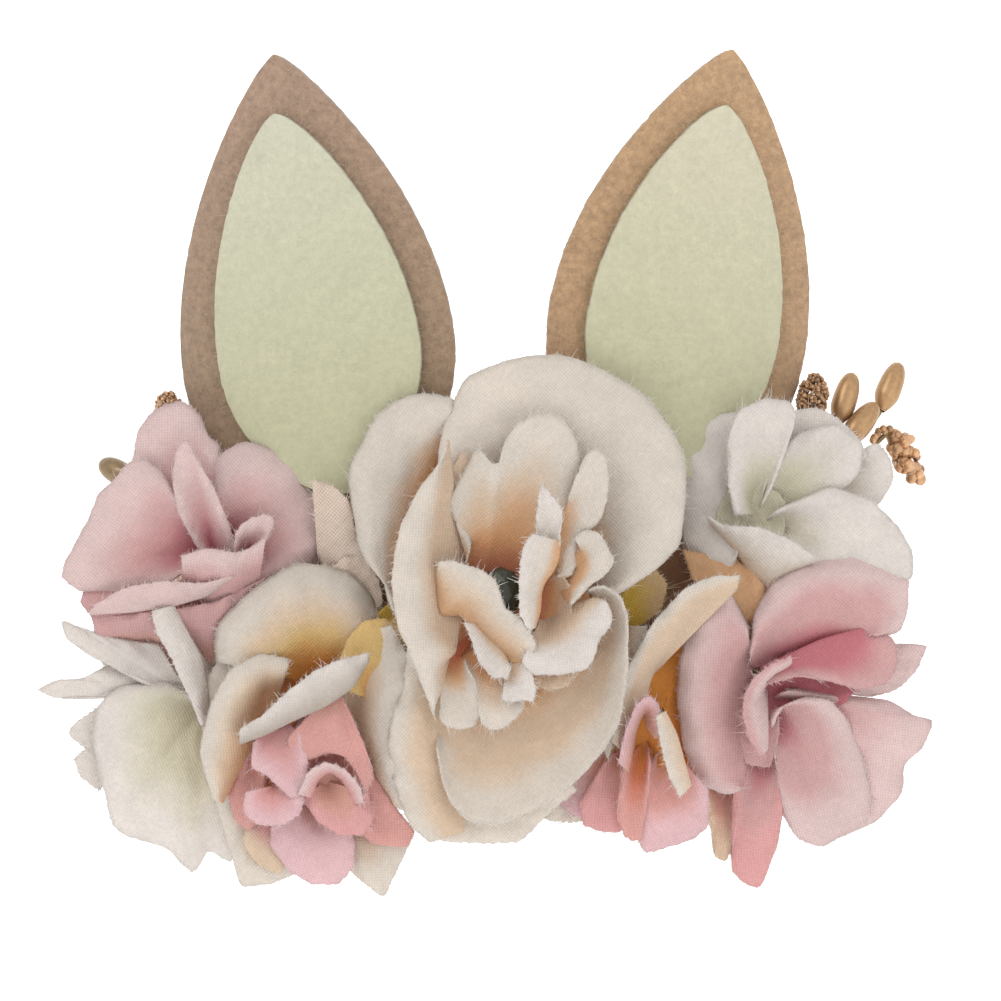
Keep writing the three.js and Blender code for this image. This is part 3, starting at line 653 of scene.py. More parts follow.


# Petals. Starched cloth, cut with a die, coloured from the root to the rim, pressed into a cup
# and gathered on the hub in layers. The colours from root to rim are partly the cloth's own ombre dye,
# partly painted shade deep in the flower and painted light on the outward rims. The cut edges fray into a short
# fringe.
PETAL_THICKNESS = 0.3
PETAL_COLUMNS = 56
PETAL_ROWS = 20
CLAW_ROWS = 5
CLAW_OUT = 2.4
CLAW_SPREAD = 8
CURL_FROM = 0.72
FRINGE_SPACING = 0.2
LONG_THREADS = 0.12
CLOTH_USED = 0.7
SMALLEST_CLOTH = 10
THREAD_PALE_AND_RIM_LIGHT = (244, 238, 232)
# The petals' colours: the cloths' dyes, where the darker ones at the feet of petals, such as cream_shade, also
# carry painted shade and the paler ones at the rims also carry painted light.
PETAL_COLOURS = {
    "white": (229, 222, 216),
    "cream": (226, 217, 206),
    "cream_shade": (226, 203, 178),
    "peach": (224, 182, 140),
    "deep_peach": (224, 172, 124),
    "coral": (216, 132, 98),
    "red_brown": (204, 128, 100),
    "pink_rim": (226, 202, 199),
    "pink": (216, 174, 172),
    "deep_pink": (204, 126, 134),
    "salmon": (224, 176, 160),
    "green_white": (222, 216, 194),
    "orange": (216, 160, 92),
    "deep_orange": (228, 154, 74),
    "yellow": (232, 200, 136),
    "lilac_pink": (229, 193, 196),
    "coral_pink": (226, 172, 164),
    "rose_pink": (226, 172, 170),
    "strip": (196, 185, 174),
    "gauze": (244, 228, 214),
    "leaf": (218, 184, 84),
    "leaf_brown": (222, 192, 144),
}

# Each petal has the line of its foot and how far out that stands, the line of its rim and how far out
# that stands, then its belly, its curl and its colours from foot to rim. Lines are steps across and down in the
# front view.
PETAL_TABLE = ("foot", "foot_out", "rim", "rim_out", "belly", "curl", "surface_colours")
LAYERS = {
    "rose_inner_petals": ("rose", "peach_cloth", [
        ([(436, 575), (438, 605), (441, 616), (457, 611), (466, 620), (482, 640), (500, 652), (515, 664),
         (527, 669)], 12.5, [(439, 562), (452, 560), (466, 565), (481, 569), (495, 579), (500, 591), (505, 609),
         (519, 616), (530, 630), (536, 645)], (15, 16, 17, 17, 16), 0.8, 0, ("peach", "cream_shade", "cream")),
        ([(541, 562), (556, 557)], 14, [(537, 540), (536, 520), (538, 503), (541, 483), (551, 494), (560, 505),
         (563, 517), (560, 527), (560, 545)], (16, 17.5, 16), 0, 0.3, ("cream", "white")),
        ([(560, 541), (559, 557), (554, 570), (545, 581), (541, 592), (540, 611), (535, 628)], 15.5, [(533, 534),
         (526, 540), (521, 555), (519, 580), (519, 605), (520, 617), (530, 630)], (17.5, 18.5, 18.5, 17.5), 0.8, 0,
         ("peach", "cream", "cream", "white")),
        ([(540, 578), (540, 612), (537, 640)], 10, [(558, 568), (572, 590), (572, 615), (560, 638), (545, 645)],
         (13, 13, 12), -1, 0, ("red_brown", "deep_peach", "cream_shade")),
        ([(569, 603), (571, 589), (581, 575), (586, 561), (580, 548)], 13.5, [(572, 604), (580, 596), (588, 587),
         (595, 581), (603, 577), (611, 567), (615, 561), (610, 553), (605, 541), (600, 534), (591, 530), (581, 531),
         (574, 538)], (14.5, 15, 15, 14.5), 0.5, 0.5, ("peach", "cream", "cream")),
        ([(474, 624), (487, 638), (502, 652), (508, 662)], 13.5, [(464, 623), (469, 632), (473, 646), (479, 662),
         (487, 672), (496, 680), (502, 675), (507, 681), (511, 668)], (15.5, 16, 16, 15.5), 0.3, 0,
         ("cream_shade", "white", "white")),
    ]),
    "rose_middle_petals": ("rose", "cream_cloth", [
        ([(505, 610)], 6, [(434, 560), (428, 610), (436, 660), (480, 690), (540, 690), (580, 650), (592, 600),
         (560, 545), (500, 530)], (8, 8, 8), 0, 0, ("coral", "deep_peach")),
        ([(463, 575), (482, 577), (500, 579), (521, 586)], 9, [(466, 562), (472, 541), (462, 522), (447, 505),
         (458, 483), (479, 446), (488, 460), (498, 468), (503, 446), (515, 425), (538, 412), (560, 415), (575, 435),
         (581, 465), (572, 500), (560, 530), (548, 560)], (11, 12, 12.5, 12.5, 11.5, 11), 0.5, 0.5,
         ("red_brown", "deep_peach", "cream_shade", "cream")),
        ([(472, 572)], 8, [(436, 585), (436, 545), (441, 505), (448, 475), (464, 450), (474, 470), (476, 520)],
         (9.5, 10, 9.5), 0, 0, ("peach", "cream_shade")),
        ([(557, 575), (558, 560), (561, 542), (564, 524), (567, 504)], 12, [(557, 577), (569, 578), (576, 567),
         (579, 555), (576, 545), (575, 537), (582, 531), (594, 527), (602, 516), (607, 499), (609, 470), (606, 456),
         (596, 447), (586, 455), (577, 475), (569, 498)], (12.5, 13, 13.5, 13), 0.6, 0.3,
         ("peach", "cream", "cream")),
        ([(531, 637), (543, 638), (556, 634), (566, 627), (573, 618), (582, 608), (588, 600), (596, 597),
         (603, 600)], 13.5, [(522, 662), (533, 676), (545, 674), (560, 675), (574, 672), (587, 669), (595, 655),
         (598, 640), (607, 630), (612, 620), (611, 610), (606, 602)], (15.5, 16, 16, 15), 1, 0.5,
         ("cream_shade", "white", "white")),
        ([(535, 664), (555, 664), (574, 664)], 12, [(534, 684), (542, 689), (552, 690), (567, 687), (575, 676)],
         (13.5, 13.5, 13.5), 0.3, 0, ("peach", "cream_shade")),
        ([(440, 656), (452, 656), (462, 656)], 9.5, [(439, 675), (440, 700), (440, 722), (447, 727), (460, 730),
         (474, 727), (481, 716), (479, 697), (475, 682), (467, 668)], (12.5, 13, 13, 13), 0.6, 0,
         ("coral", "peach", "cream", "cream")),
        ([(463, 656), (475, 660), (490, 670), (506, 676)], 10.5, [(469, 672), (476, 684), (479, 700), (480, 722),
         (490, 731), (503, 729), (514, 720), (523, 710), (526, 697), (517, 680)], (13, 13.5, 14, 14), 0.6, 0,
         ("deep_peach", "cream_shade", "cream")),
        ([(505, 680), (512, 672), (521, 663)], 13.5, [(504, 688), (501, 700), (512, 703), (524, 699), (534, 703),
         (536, 690), (532, 674), (526, 664)], (15, 15.5, 15), 0.4, 0, ("cream_shade", "white", "white")),
        ([(448, 440), (445, 480), (440, 520), (436, 555), (435, 600), (440, 630), (458, 650), (443, 664),
         (441, 692), (434, 706)], 12.5, [(442, 462), (420, 488), (400, 528), (391, 580), (397, 625), (406, 645),
         (414, 665), (422, 685), (430, 705), (434, 716)], (14, 16, 17, 16.5, 14), 1.5, 0,
         ("cream_shade", "cream", "cream")),
    ]),
    "rose_outer_petals": ("rose", "cream_cloth", [
        ([(402, 630), (400, 600), (406, 560), (416, 520), (432, 480), (448, 440)], 4, [(388, 600), (383, 575),
         (368, 565), (358, 544), (356, 523), (351, 498), (348, 478), (355, 456), (367, 434), (378, 414), (396, 401),
         (419, 394), (436, 394), (454, 400)], (6, 5.5, 6, 6), 2, 1.5, ("deep_peach", "cream", "cream")),
        ([(446, 520), (470, 510), (520, 505), (570, 515), (592, 560), (588, 592)], 5, [(438, 490), (439, 450),
         (446, 420), (456, 398), (466, 377), (490, 367), (508, 360), (532, 355), (560, 354), (582, 360), (610, 374),
         (633, 387), (651, 401), (663, 419), (675, 437), (684, 455), (686, 488), (683, 521), (680, 545), (661, 565),
         (638, 581), (620, 592), (604, 600)], (8, 8, 7, 7, 8, 9.5, 10), 2.2, 1,
         ("peach", "cream", "cream", "cream")),
        ([(430, 780), (470, 795), (520, 785), (560, 765)], 4, [(414, 815), (424, 832), (442, 841), (483, 843),
         (519, 842), (531, 831), (541, 820), (553, 809), (577, 790)], (5, 5, 5), 1, 0.5,
         ("cream_shade", "cream", "cream")),
        ([(437, 645), (441, 690), (438, 715), (440, 745), (447, 785), (458, 817), (464, 832)], 8, [(408, 640),
         (404, 689), (394, 712), (388, 740), (391, 768), (400, 800), (410, 825), (430, 842)], (9.5, 9.5, 9, 7), 1,
         0.5, ("cream_shade", "cream_shade", "cream")),
        ([(600, 606), (590, 640), (562, 672), (525, 690), (480, 700), (443, 700)], 8.5, [(589, 590), (600, 585),
         (612, 589), (621, 598), (626, 608), (628, 626), (627, 677), (619, 723), (601, 753), (578, 779), (545, 804),
         (519, 817), (493, 825), (468, 821), (452, 805), (442, 780), (437, 748)], (14, 14, 14, 13, 12, 11, 10),
         -1.5, -0.5, ("peach", "cream_shade", "cream_shade", "cream")),
    ]),
    "pink_right_inner_petals": ("pink_right", "pink_cloth", [
        ([(792, 662), (775, 672), (764, 684), (757, 697), (760, 711), (768, 733), (767, 750)], 12.5, [(791, 656),
         (772, 664), (755, 676), (745, 692), (742, 711), (747, 735), (760, 757)], (14.5, 15.5, 14.5), 0.5, 0,
         ("pink_rim", "pink_rim", "pink")),
        ([(762, 700)], 7, [(748, 690), (764, 668), (792, 652), (840, 660), (858, 684), (846, 704), (800, 712),
         (764, 722)], (9, 9, 9), 0, 0, ("deep_pink", "deep_pink")),
        ([(764, 712)], 8.5, [(741, 690), (738, 730), (745, 765), (770, 768), (779, 735), (778, 708)], (10, 10, 10),
         0, 0, ("deep_pink", "pink")),
        ([(760, 668), (790, 654), (820, 640), (856, 630)], 10, [(768, 684), (800, 676), (834, 682), (858, 690),
         (888, 684), (898, 664), (896, 642), (874, 626)], (12.5, 12, 11.5, 10), 0.5, 0,
         ("deep_pink", "deep_pink", "pink")),
    ]),
    "pink_right_outer_petals": ("pink_right", "pink_cloth", [
        ([(752, 668), (785, 655), (820, 642), (862, 634)], 7.5, [(750, 650), (755, 611), (773, 583), (802, 567),
         (821, 558), (849, 554), (887, 560), (908, 579), (907, 611), (899, 632), (880, 636)], (12, 12, 10, 9, 9), 3,
         1.5, ("deep_pink", "pink", "pink", "pink_rim")),
        ([(751, 655), (745, 690), (744, 725), (748, 762), (742, 785)], 9, [(747, 624), (727, 588), (714, 590),
         (702, 599), (687, 630), (680, 661), (677, 692), (680, 722), (684, 749), (691, 768), (701, 784), (727, 795),
         (740, 790)], (12, 13, 13.5, 13, 12, 11), 2.5, 1.5, ("pink", "pink", "pink_rim")),
        ([(790, 672)], 5, [(852, 652), (888, 644), (928, 645), (916, 671), (897, 690), (868, 697), (835, 690)],
         (7, 7, 8), 1, 0.5, ("deep_pink", "pink", "pink_rim")),
        ([(768, 700)], 6, [(792, 688), (840, 695), (890, 701), (914, 717), (934, 720), (921, 749), (903, 764),
         (903, 793), (874, 822), (846, 834), (821, 848), (796, 837), (780, 808)], (9, 8, 8, 8, 8, 8), 2, 1,
         ("deep_pink", "pink", "pink_rim")),
        ([(768, 712)], 7.5, [(772, 728), (782, 706), (805, 697), (830, 700), (848, 720), (862, 755), (871, 796),
         (868, 822), (846, 834), (821, 847), (797, 838), (784, 812), (778, 775)], (11, 11, 10, 9.3, 9.3, 9.5), 1.5,
         0.5, ("deep_pink", "pink", "pink", "pink_rim")),
        ([(756, 745), (772, 752)], 6, [(734, 790), (732, 830), (732, 872), (745, 884), (759, 889), (766, 874),
         (777, 845), (784, 805), (779, 765)], (9, 9.5, 9), 1, 0.5, ("deep_pink", "pink", "rose_pink")),
        ([(712, 780), (744, 780)], 5, [(703, 786), (710, 824), (715, 859), (727, 862), (735, 830), (741, 792)],
         (7.5, 8, 7.5), 0.5, 0.3, ("coral_pink", "salmon", "cream_shade")),
        ([(735, 785)], 4, [(718, 790), (722, 830), (736, 868), (752, 850), (756, 798)], (6.5, 6.5, 6.5), 0.5, 0,
         ("orange", "salmon")),
    ]),
    "orange_right_inner_petals": ("orange_right", "orange_cloth", [
        ([(628, 772), (633, 740), (641, 717), (648, 708), (652, 718), (655, 738)], 10, [(618, 762), (625, 730),
         (636, 704), (648, 694), (658, 703), (662, 726)], (12, 13, 12), 0.3, 0, ("salmon", "lilac_pink")),
        ([(645, 775)], 5, [(624, 765), (634, 722), (648, 702), (660, 728), (664, 765)], (8, 9, 8), 0, 0,
         ("orange", "deep_orange")),
        ([(665, 711), (677, 735), (685, 765), (691, 786)], 11.5, [(656, 716), (661, 747), (669, 777), (680, 797)],
         (12.5, 12.5, 12.5), 0.5, 0, ("cream_shade", "cream")),
    ]),
    "orange_right_outer_petals": ("orange_right", "pink_cloth", [
        ([(665, 705)], 4, [(622, 740), (630, 690), (648, 650), (672, 615), (704, 597), (712, 650), (706, 725),
         (702, 770), (684, 806), (660, 800)], (6, 3.4, 3, 4), -1, 0, ("deep_orange", "deep_orange")),
        ([(624, 752), (637, 702), (649, 667), (668, 642), (690, 617), (712, 599), (737, 589)], 9, [(612, 742),
         (618, 699), (631, 661), (652, 624), (684, 589), (715, 575), (740, 576)], (11, 11, 10), 0.8, 0,
         ("cream_shade", "cream_shade", "cream")),
        ([(628, 626), (618, 680), (600, 740)], 7, [(648, 626), (641, 668), (624, 712), (608, 760)], (9, 9, 9), 0.5,
         0, ("cream_shade", "cream")),
        ([(628, 735)], 4, [(604, 750), (576, 774), (557, 800), (572, 815), (602, 822)], (6, 6, 6), 1, 0.5,
         ("orange", "salmon", "lilac_pink")),
        ([(632, 735)], 5, [(600, 768), (578, 805), (584, 826), (604, 832), (622, 832), (630, 800), (630, 768)],
         (8, 8, 8), 1, 0.5, ("deep_orange", "coral_pink", "rose_pink")),
        ([(646, 735)], 6, [(622, 770), (616, 815), (625, 838), (641, 842), (648, 800), (651, 764)], (10, 10, 10), 1,
         0.5, ("deep_orange", "coral", "coral_pink")),
        ([(665, 740)], 5, [(645, 775), (633, 830), (645, 854), (668, 847), (690, 840), (708, 828), (708, 790)],
         (9, 9, 8), 1.5, 0.5, ("deep_orange", "coral_pink", "coral_pink", "lilac_pink")),
        ([(600, 772)], 3, [(568, 786), (541, 803), (544, 820), (572, 823), (604, 816)], (4, 4, 4), 0.5, 0,
         ("cream_shade", "cream")),
    ]),
    "pink_left_inner_petals": ("pink_left", "pink_cloth", [
        ([(216, 556)], 8, [(198, 548), (178, 512), (172, 476), (176, 452), (186, 436), (197, 460), (214, 487),
         (229, 525), (238, 552)], (10, 13, 15, 14, 11), 0.5, 0.5, ("deep_pink", "pink", "pink_rim")),
        ([(241, 560)], 8, [(234, 553), (236, 530), (250, 518), (268, 513), (276, 522), (266, 541), (255, 556)],
         (13, 14, 13), 0.5, 0.5, ("deep_pink", "pink", "pink_rim")),
        ([(182, 590), (205, 604), (232, 602), (259, 584)], 10, [(182, 556), (207, 548), (236, 553), (251, 548),
         (266, 537)], (14, 15, 14), 1.5, 0.3, ("pink", "pink", "pink_rim")),
        ([(89, 614), (129, 612), (173, 606), (207, 596), (233, 580)], 12, [(95, 605), (126, 587), (160, 581),
         (204, 583), (233, 576)], (14, 15, 14), 0.8, 0, ("pink_rim", "pink_rim")),
        ([(100, 645), (150, 640), (214, 664), (240, 612)], 7, [(92, 618), (140, 613), (180, 608), (216, 602),
         (266, 577)], (10, 12, 12), 1, 0.3, ("salmon", "pink", "pink")),
    ]),
    "pink_left_outer_petals": ("pink_left", "pink_cloth", [
        ([(213, 545)], 5, [(130, 474), (134, 455), (138, 431), (151, 413), (164, 405), (183, 401), (200, 415),
         (208, 437), (221, 446), (216, 490)], (6, 6, 7, 7), 2, 1, ("deep_pink", "pink", "pink_rim")),
        ([(206, 556)], 6.5, [(180, 505), (160, 469), (142, 458), (129, 462), (112, 483), (98, 494), (91, 515),
         (76, 543), (64, 565), (61, 577), (79, 591), (120, 592), (165, 586)], (11, 10, 8, 7, 8, 9), 2.5, 1.5,
         ("deep_pink", "pink", "pink_rim")),
        ([(228, 560)], 6, [(212, 488), (215, 458), (243, 441), (276, 451), (308, 473), (330, 503), (336, 520),
         (333, 542), (318, 564), (292, 580), (262, 600)], (9, 9, 8, 8, 8), 3, 1.5,
         ("deep_pink", "pink", "pink_rim")),
        ([(292, 555)], 3, [(326, 515), (344, 532), (347, 552), (338, 566), (316, 572)], (4, 4, 4), 0.5, 0,
         ("pink", "pink_rim")),
        ([(200, 600)], 5, [(88, 585), (79, 602), (92, 616), (95, 634), (104, 645), (130, 658), (165, 670),
         (200, 668), (215, 661), (226, 630), (250, 604)], (6, 6, 7), 1.5, 0.5, ("salmon", "salmon", "pink")),
    ]),
    "orange_left_fold": ("orange_left", "white_cloth", [
        ([(239, 744), (264, 735), (292, 721), (326, 706), (352, 688), (368, 662)], 15, [(240, 729), (261, 717),
         (286, 693), (314, 671), (339, 660), (369, 653)], (16, 17, 16), 0.8, 0, ("strip", "white")),
    ]),
    "orange_left_inner_petals": ("orange_left", "pink_cloth", [
        ([(330, 800)], 7, [(285, 745), (295, 722), (316, 706), (337, 691), (348, 708), (364, 743), (374, 775),
         (394, 806), (416, 832), (407, 847), (372, 844)], (11, 12, 12, 10, 8), 1, 0.5,
         ("salmon", "coral_pink", "coral_pink")),
        ([(330, 692), (338, 690)], 12.5, [(287, 738), (289, 752), (307, 761), (329, 753), (345, 757), (358, 775),
         (367, 794), (373, 772), (362, 740), (346, 706)], (14, 15, 14), 0.5, 0,
         ("salmon", "coral_pink", "coral_pink")),
        ([(262, 735), (290, 724)], 12, [(254, 742), (251, 768), (264, 773), (276, 784), (292, 800), (306, 791),
         (308, 760), (300, 735)], (14, 15, 14.5), 0.5, 0.5, ("rose_pink", "rose_pink", "lilac_pink")),
        ([(262, 742)], 7, [(240, 756), (229, 795), (235, 822), (250, 832), (265, 810), (266, 770)], (9, 9, 9), 1,
         0.5, ("coral", "coral_pink", "coral_pink")),
        ([(275, 785)], 12, [(246, 792), (243, 812), (257, 825), (283, 825), (301, 813), (304, 796)], (14, 14.5, 14),
         1, 0.5, ("coral_pink", "rose_pink", "lilac_pink")),
        ([(311, 798), (318, 779), (330, 771), (342, 779), (351, 793), (354, 804)], 13, [(298, 794), (308, 771),
         (326, 761), (346, 769), (361, 787), (364, 803)], (15, 16, 15), 0.5, 0, ("rose_pink", "pink_rim")),
        ([(330, 800)], 9, [(310, 802), (318, 776), (334, 768), (352, 786), (352, 808)], (11, 11, 11), 0, 0,
         ("deep_peach", "salmon")),
        ([(325, 780)], 10, [(303, 798), (317, 821), (339, 835), (364, 835), (374, 821), (368, 793)], (13, 13.5, 13),
         1, 0.5, ("salmon", "salmon", "rose_pink")),
        ([(312, 792)], 7, [(274, 810), (270, 845), (289, 870), (312, 884), (338, 884), (354, 866), (354, 842),
         (346, 818)], (11, 10, 9, 10), 2, 1, ("salmon", "lilac_pink", "lilac_pink")),
        ([(270, 800)], 6, [(246, 822), (243, 845), (257, 864), (280, 875), (294, 850), (290, 822)], (8, 8, 8), 1,
         0.5, ("coral_pink", "rose_pink", "cream_shade")),
    ]),
    "orange_left_outer_petals": ("orange_left", "orange_cloth", [
        ([(326, 720)], 4, [(240, 822), (224, 790), (228, 740), (236, 690), (262, 655), (300, 636), (345, 636),
         (374, 660), (374, 720), (398, 795), (392, 838), (330, 852), (262, 840), (236, 818)], (5, 5, 5, 5), 0, 0,
         ("deep_orange", "deep_orange", "salmon")),
        ([(296, 680), (310, 668), (345, 660)], 7.5, [(217, 662), (215, 640), (220, 621), (239, 602), (264, 581),
         (298, 562), (322, 566), (351, 574), (370, 593), (379, 615), (378, 634), (360, 656)],
         (8.5, 8.5, 8, 8.5, 8.5), 3, 1.5, ("deep_orange", "yellow", "cream_shade", "cream")),
        ([(262, 702)], 4, [(203, 724), (204, 686), (217, 662), (240, 650), (264, 660)], (6, 6, 6), 1, 0.5,
         ("orange", "cream")),
        ([(282, 688), (264, 691), (255, 715), (250, 746), (237, 774), (222, 803)], 9.5, [(290, 660), (261, 653),
         (232, 668), (219, 687), (211, 706), (203, 734), (200, 752), (207, 778), (214, 800)], (12, 13, 12, 11), 2.5,
         0.5, ("peach", "cream_shade", "cream")),
        ([(262, 775)], 4, [(210, 780), (219, 812), (228, 843), (236, 868), (240, 887), (270, 884), (294, 874),
         (306, 840)], (6, 5, 5), 1.5, 0.5, ("yellow", "cream_shade", "cream")),
        ([(345, 775)], 4, [(338, 850), (352, 873), (372, 889), (384, 898), (394, 876), (411, 840)], (6, 6, 6), 1,
         0.5, ("salmon", "cream_shade", "cream")),
        ([(373, 630), (367, 665), (363, 705), (365, 740), (378, 780), (394, 806)], 10, [(392, 625), (407, 652),
         (416, 684), (404, 718), (396, 762), (412, 814)], (12, 13, 12), 1, 0, ("cream_shade", "cream", "cream")),
        ([(372, 700)], 9, [(345, 690), (340, 660), (349, 636), (364, 621), (382, 617), (397, 625), (408, 642),
         (402, 670)], (12, 12, 11.5), 1, 0.5, ("deep_orange", "yellow", "yellow")),
    ]),
    "white_left_fold": ("white_left", "white_cloth", [
        ([(173, 605), (186, 631), (200, 656), (207, 690), (208, 724)], 12, [(152, 611), (158, 634), (173, 662),
         (189, 696), (201, 726)], (13, 14, 13), 1, 0, ("white", "white")),
    ]),
    "white_left_petals": ("white_left", "white_cloth", [
        ([(205, 705)], 5, [(165, 680), (118, 686), (98, 706), (93, 731), (95, 752), (103, 784), (108, 806),
         (114, 828), (128, 836), (146, 841), (167, 847), (183, 864), (193, 874), (199, 866), (208, 848), (220, 857),
         (233, 864), (232, 830)], (7, 8, 8, 7, 6), 3, 0.8, ("green_white", "green_white", "white")),
        ([(192, 702)], 6, [(160, 645), (112, 638), (84, 629), (60, 620), (66, 638), (86, 653), (108, 664),
         (140, 682)], (8, 9, 9, 8), 1, 0, ("white", "white")),
        ([(188, 695)], 4, [(142, 660), (105, 667), (80, 680), (58, 680), (36, 690), (57, 698), (85, 699),
         (112, 692), (152, 704)], (6, 7, 7, 6), 1, 0, ("white", "white")),
        ([(212, 700)], 4, [(124, 700), (98, 655), (140, 645), (180, 650), (212, 666)], (5, 5, 5), 1, 0,
         ("cream_shade", "cream")),
        ([(122, 730)], 3, [(100, 706), (72, 725), (68, 735), (88, 750), (98, 757)], (5, 5, 5), 0.5, 0,
         ("white", "white")),
        ([(122, 762)], 3, [(98, 742), (74, 757), (79, 776), (99, 791)], (5, 5, 5), 0.5, 0, ("white", "white")),
    ]),
    "white_right_inner_petals": ("white_right", "white_cloth", [
        ([(745, 528)], 6.5, [(718, 545), (716, 512), (732, 485), (760, 478), (786, 500), (784, 535), (750, 552),
         (722, 548)], (8, 8, 8), 0, 0, ("green_white", "green_white")),
        ([(711, 524), (740, 558), (760, 588), (768, 597), (809, 566)], 8, [(706, 516), (724, 526), (759, 527),
         (790, 539), (817, 558)], (12, 12.5, 12), 0.8, 0, ("cream_shade", "cream", "white")),
        ([(756, 515)], 6, [(734, 515), (728, 480), (727, 442), (737, 411), (765, 398), (790, 401), (797, 414),
         (785, 452), (772, 486)], (11, 12, 12, 11), 1.2, 0.6, ("green_white", "green_white", "white", "white")),
    ]),
    "white_right_outer_petals": ("white_right", "white_cloth", [
        ([(748, 520)], 5.5, [(748, 445), (740, 413), (731, 412), (715, 416), (696, 432), (684, 455), (679, 480),
         (680, 515), (683, 541), (699, 565), (728, 575), (736, 558)], (8, 8, 8, 9), 1.5, 0.6,
         ("green_white", "white", "white")),
        ([(776, 506)], 4, [(784, 442), (793, 411), (815, 407), (838, 418), (860, 440), (868, 456)], (7, 7, 7), 1,
         0.5, ("green_white", "white", "white")),
        ([(758, 516)], 5.5, [(764, 486), (774, 458), (800, 432), (838, 424), (863, 444), (860, 472), (832, 500)],
         (9, 9, 8), 1, 0.5, ("green_white", "green_white", "white")),
        ([(800, 500)], 3, [(858, 452), (878, 442), (891, 460), (893, 482), (881, 502), (864, 512)], (6, 6, 6), 1,
         0.5, ("green_white", "white")),
        ([(762, 524)], 5.5, [(780, 508), (830, 487), (872, 500), (897, 526), (912, 550), (914, 578), (880, 586),
         (830, 588), (780, 575)], (9, 10, 9, 8), 2, 0.8, ("green_white", "white", "white")),
    ]),
    "gauze_petal": ("left_leaves", "gauze_cloth", [
        ([(318, 562)], 0.5, [(312, 480), (336, 487), (352, 505), (354, 525), (361, 549), (374, 574), (382, 594),
         (366, 602)], (5, 5, 3.5, 2, 2), 1, 0, ("gauze", "gauze")),
        ([(348, 604)], 1, [(328, 572), (345, 556), (364, 556), (378, 576), (384, 602), (372, 616)], (3, 3, 3), 0.5,
         0, ("gauze", "gauze")),
    ]),
    "left_leaf": ("left_leaves", "leaf_cloth", [
        ([(404, 590)], 3, [(376, 572), (392, 562), (420, 580), (424, 640), (400, 636), (377, 614)], (4, 4, 4), 0.5,
         0, ("leaf", "leaf")),
    ]),
    "right_leaf": ("right_leaves", "leaf_cloth", [
        ([(610, 604), (618, 618), (630, 632)], 4, [(652, 566), (668, 584), (660, 612)], (4, 4, 4), 0.6, 0,
         ("leaf", "leaf", "leaf_brown")),
    ]),
    "peach_petal": ("right_leaves", "peach_cloth", [
        ([(742, 560)], 1, [(683, 550), (690, 576), (700, 590), (718, 583), (734, 602), (748, 625), (764, 610),
         (764, 586)], (3, 3, 3), 0.5, 0, ("peach", "peach")),
    ]),
}


def cloth_material(name, through, sheen, weave_shade):
    """Plain-woven starched cloth: crossed threads, slubs, painted shade in the hollows of the weave with paler
    thread tops as painted light, and light that passes through.
    """
    material, tree = new_material(name)
    place = add_node(tree, "ShaderNodeUVMap", uv_map="threads").outputs[0]
    waver = noise(tree, place, 0.6, 2).outputs["Color"]
    half = add_node(tree, "ShaderNodeVectorMath", {0: waver, 1: (0.5, 0.5, 0.5)}, operation="MULTIPLY")
    wavering = add_node(tree, "ShaderNodeVectorMath", {0: place, 1: half.outputs[0]}, operation="ADD").outputs[0]
    wefts, warps = (threads_across(tree, wavering, way, 0.78, 0.5, 2) for way in "XY")
    height = worked_out(tree, "MULTIPLY_ADD", wefts, 1.4, warps)
    slubs = ranged(tree, noise(tree, place, 1.6, 3).outputs["Fac"], 0.3, 0.7, 0.95, 1.05)
    blotches = ranged(tree, noise(tree, place, 0.22, 3).outputs["Fac"], 0.3, 0.7, 0.96, 1.04)
    # Painted shade darkens the hollows of the weave and painted light makes the thread tops paler; the slubs and
    # blotches are the cloth's own unevenness.
    tone = ranged(tree, height, 0.2, 2.2, 1 - weave_shade, 1 + weave_shade * 0.35)
    for unevenness in (slubs, blotches):
        tone = worked_out(tree, "MULTIPLY", tone, unevenness)
    colour, normal = toned_colour(tree, tone), bumped(tree, height, 0.3, 0.00016)
    front = add_node(
        tree, "ShaderNodeBsdfPrincipled",
        {"Base Color": colour, "Roughness": 0.85, "Sheen Weight": sheen, "Sheen Roughness": 0.5,
         "Specular IOR Level": 0.25, "Normal": normal},
    )
    behind = add_node(tree, "ShaderNodeBsdfTranslucent", {"Color": colour, "Normal": normal})
    mixed = add_node(tree, "ShaderNodeMixShader", {0: through, 1: front.outputs[0], 2: behind.outputs[0]})
    return finished(material, mixed)


CAMERA_DISTANCE = 690
CAMERA_HEIGHT = 14.925
VIEW_PLANE = 620
VIEW_MIDDLE = 500.5
VIEW_STEP = 0.15


def from_view(across, down, y):
    """A point in mm from its place in the front view, in steps across and down, and its depth y."""
    step = VIEW_STEP * (CAMERA_DISTANCE + y) / VIEW_PLANE
    return np.stack([(across - VIEW_MIDDLE) * step, y, CAMERA_HEIGHT - (down - VIEW_MIDDLE) * step], -1)


def smooth_line(points, count, easing=10):
    """Points spaced evenly along a line, with its corners eased."""
    points = np.asarray(points, float)
    if len(points) == 1:
        return np.repeat(points, count, axis=0)
    along = lengths_along(points)
    line = read_along(np.linspace(0, along[-1], max(int(along[-1] / 1.5), 8)), along, points)
    for _ in range(easing):
        line[1:-1] = line[1:-1] / 2 + (line[:-2] + line[2:]) / 4
    along = lengths_along(line)
    return read_along(np.linspace(0, along[-1], count), along, line)


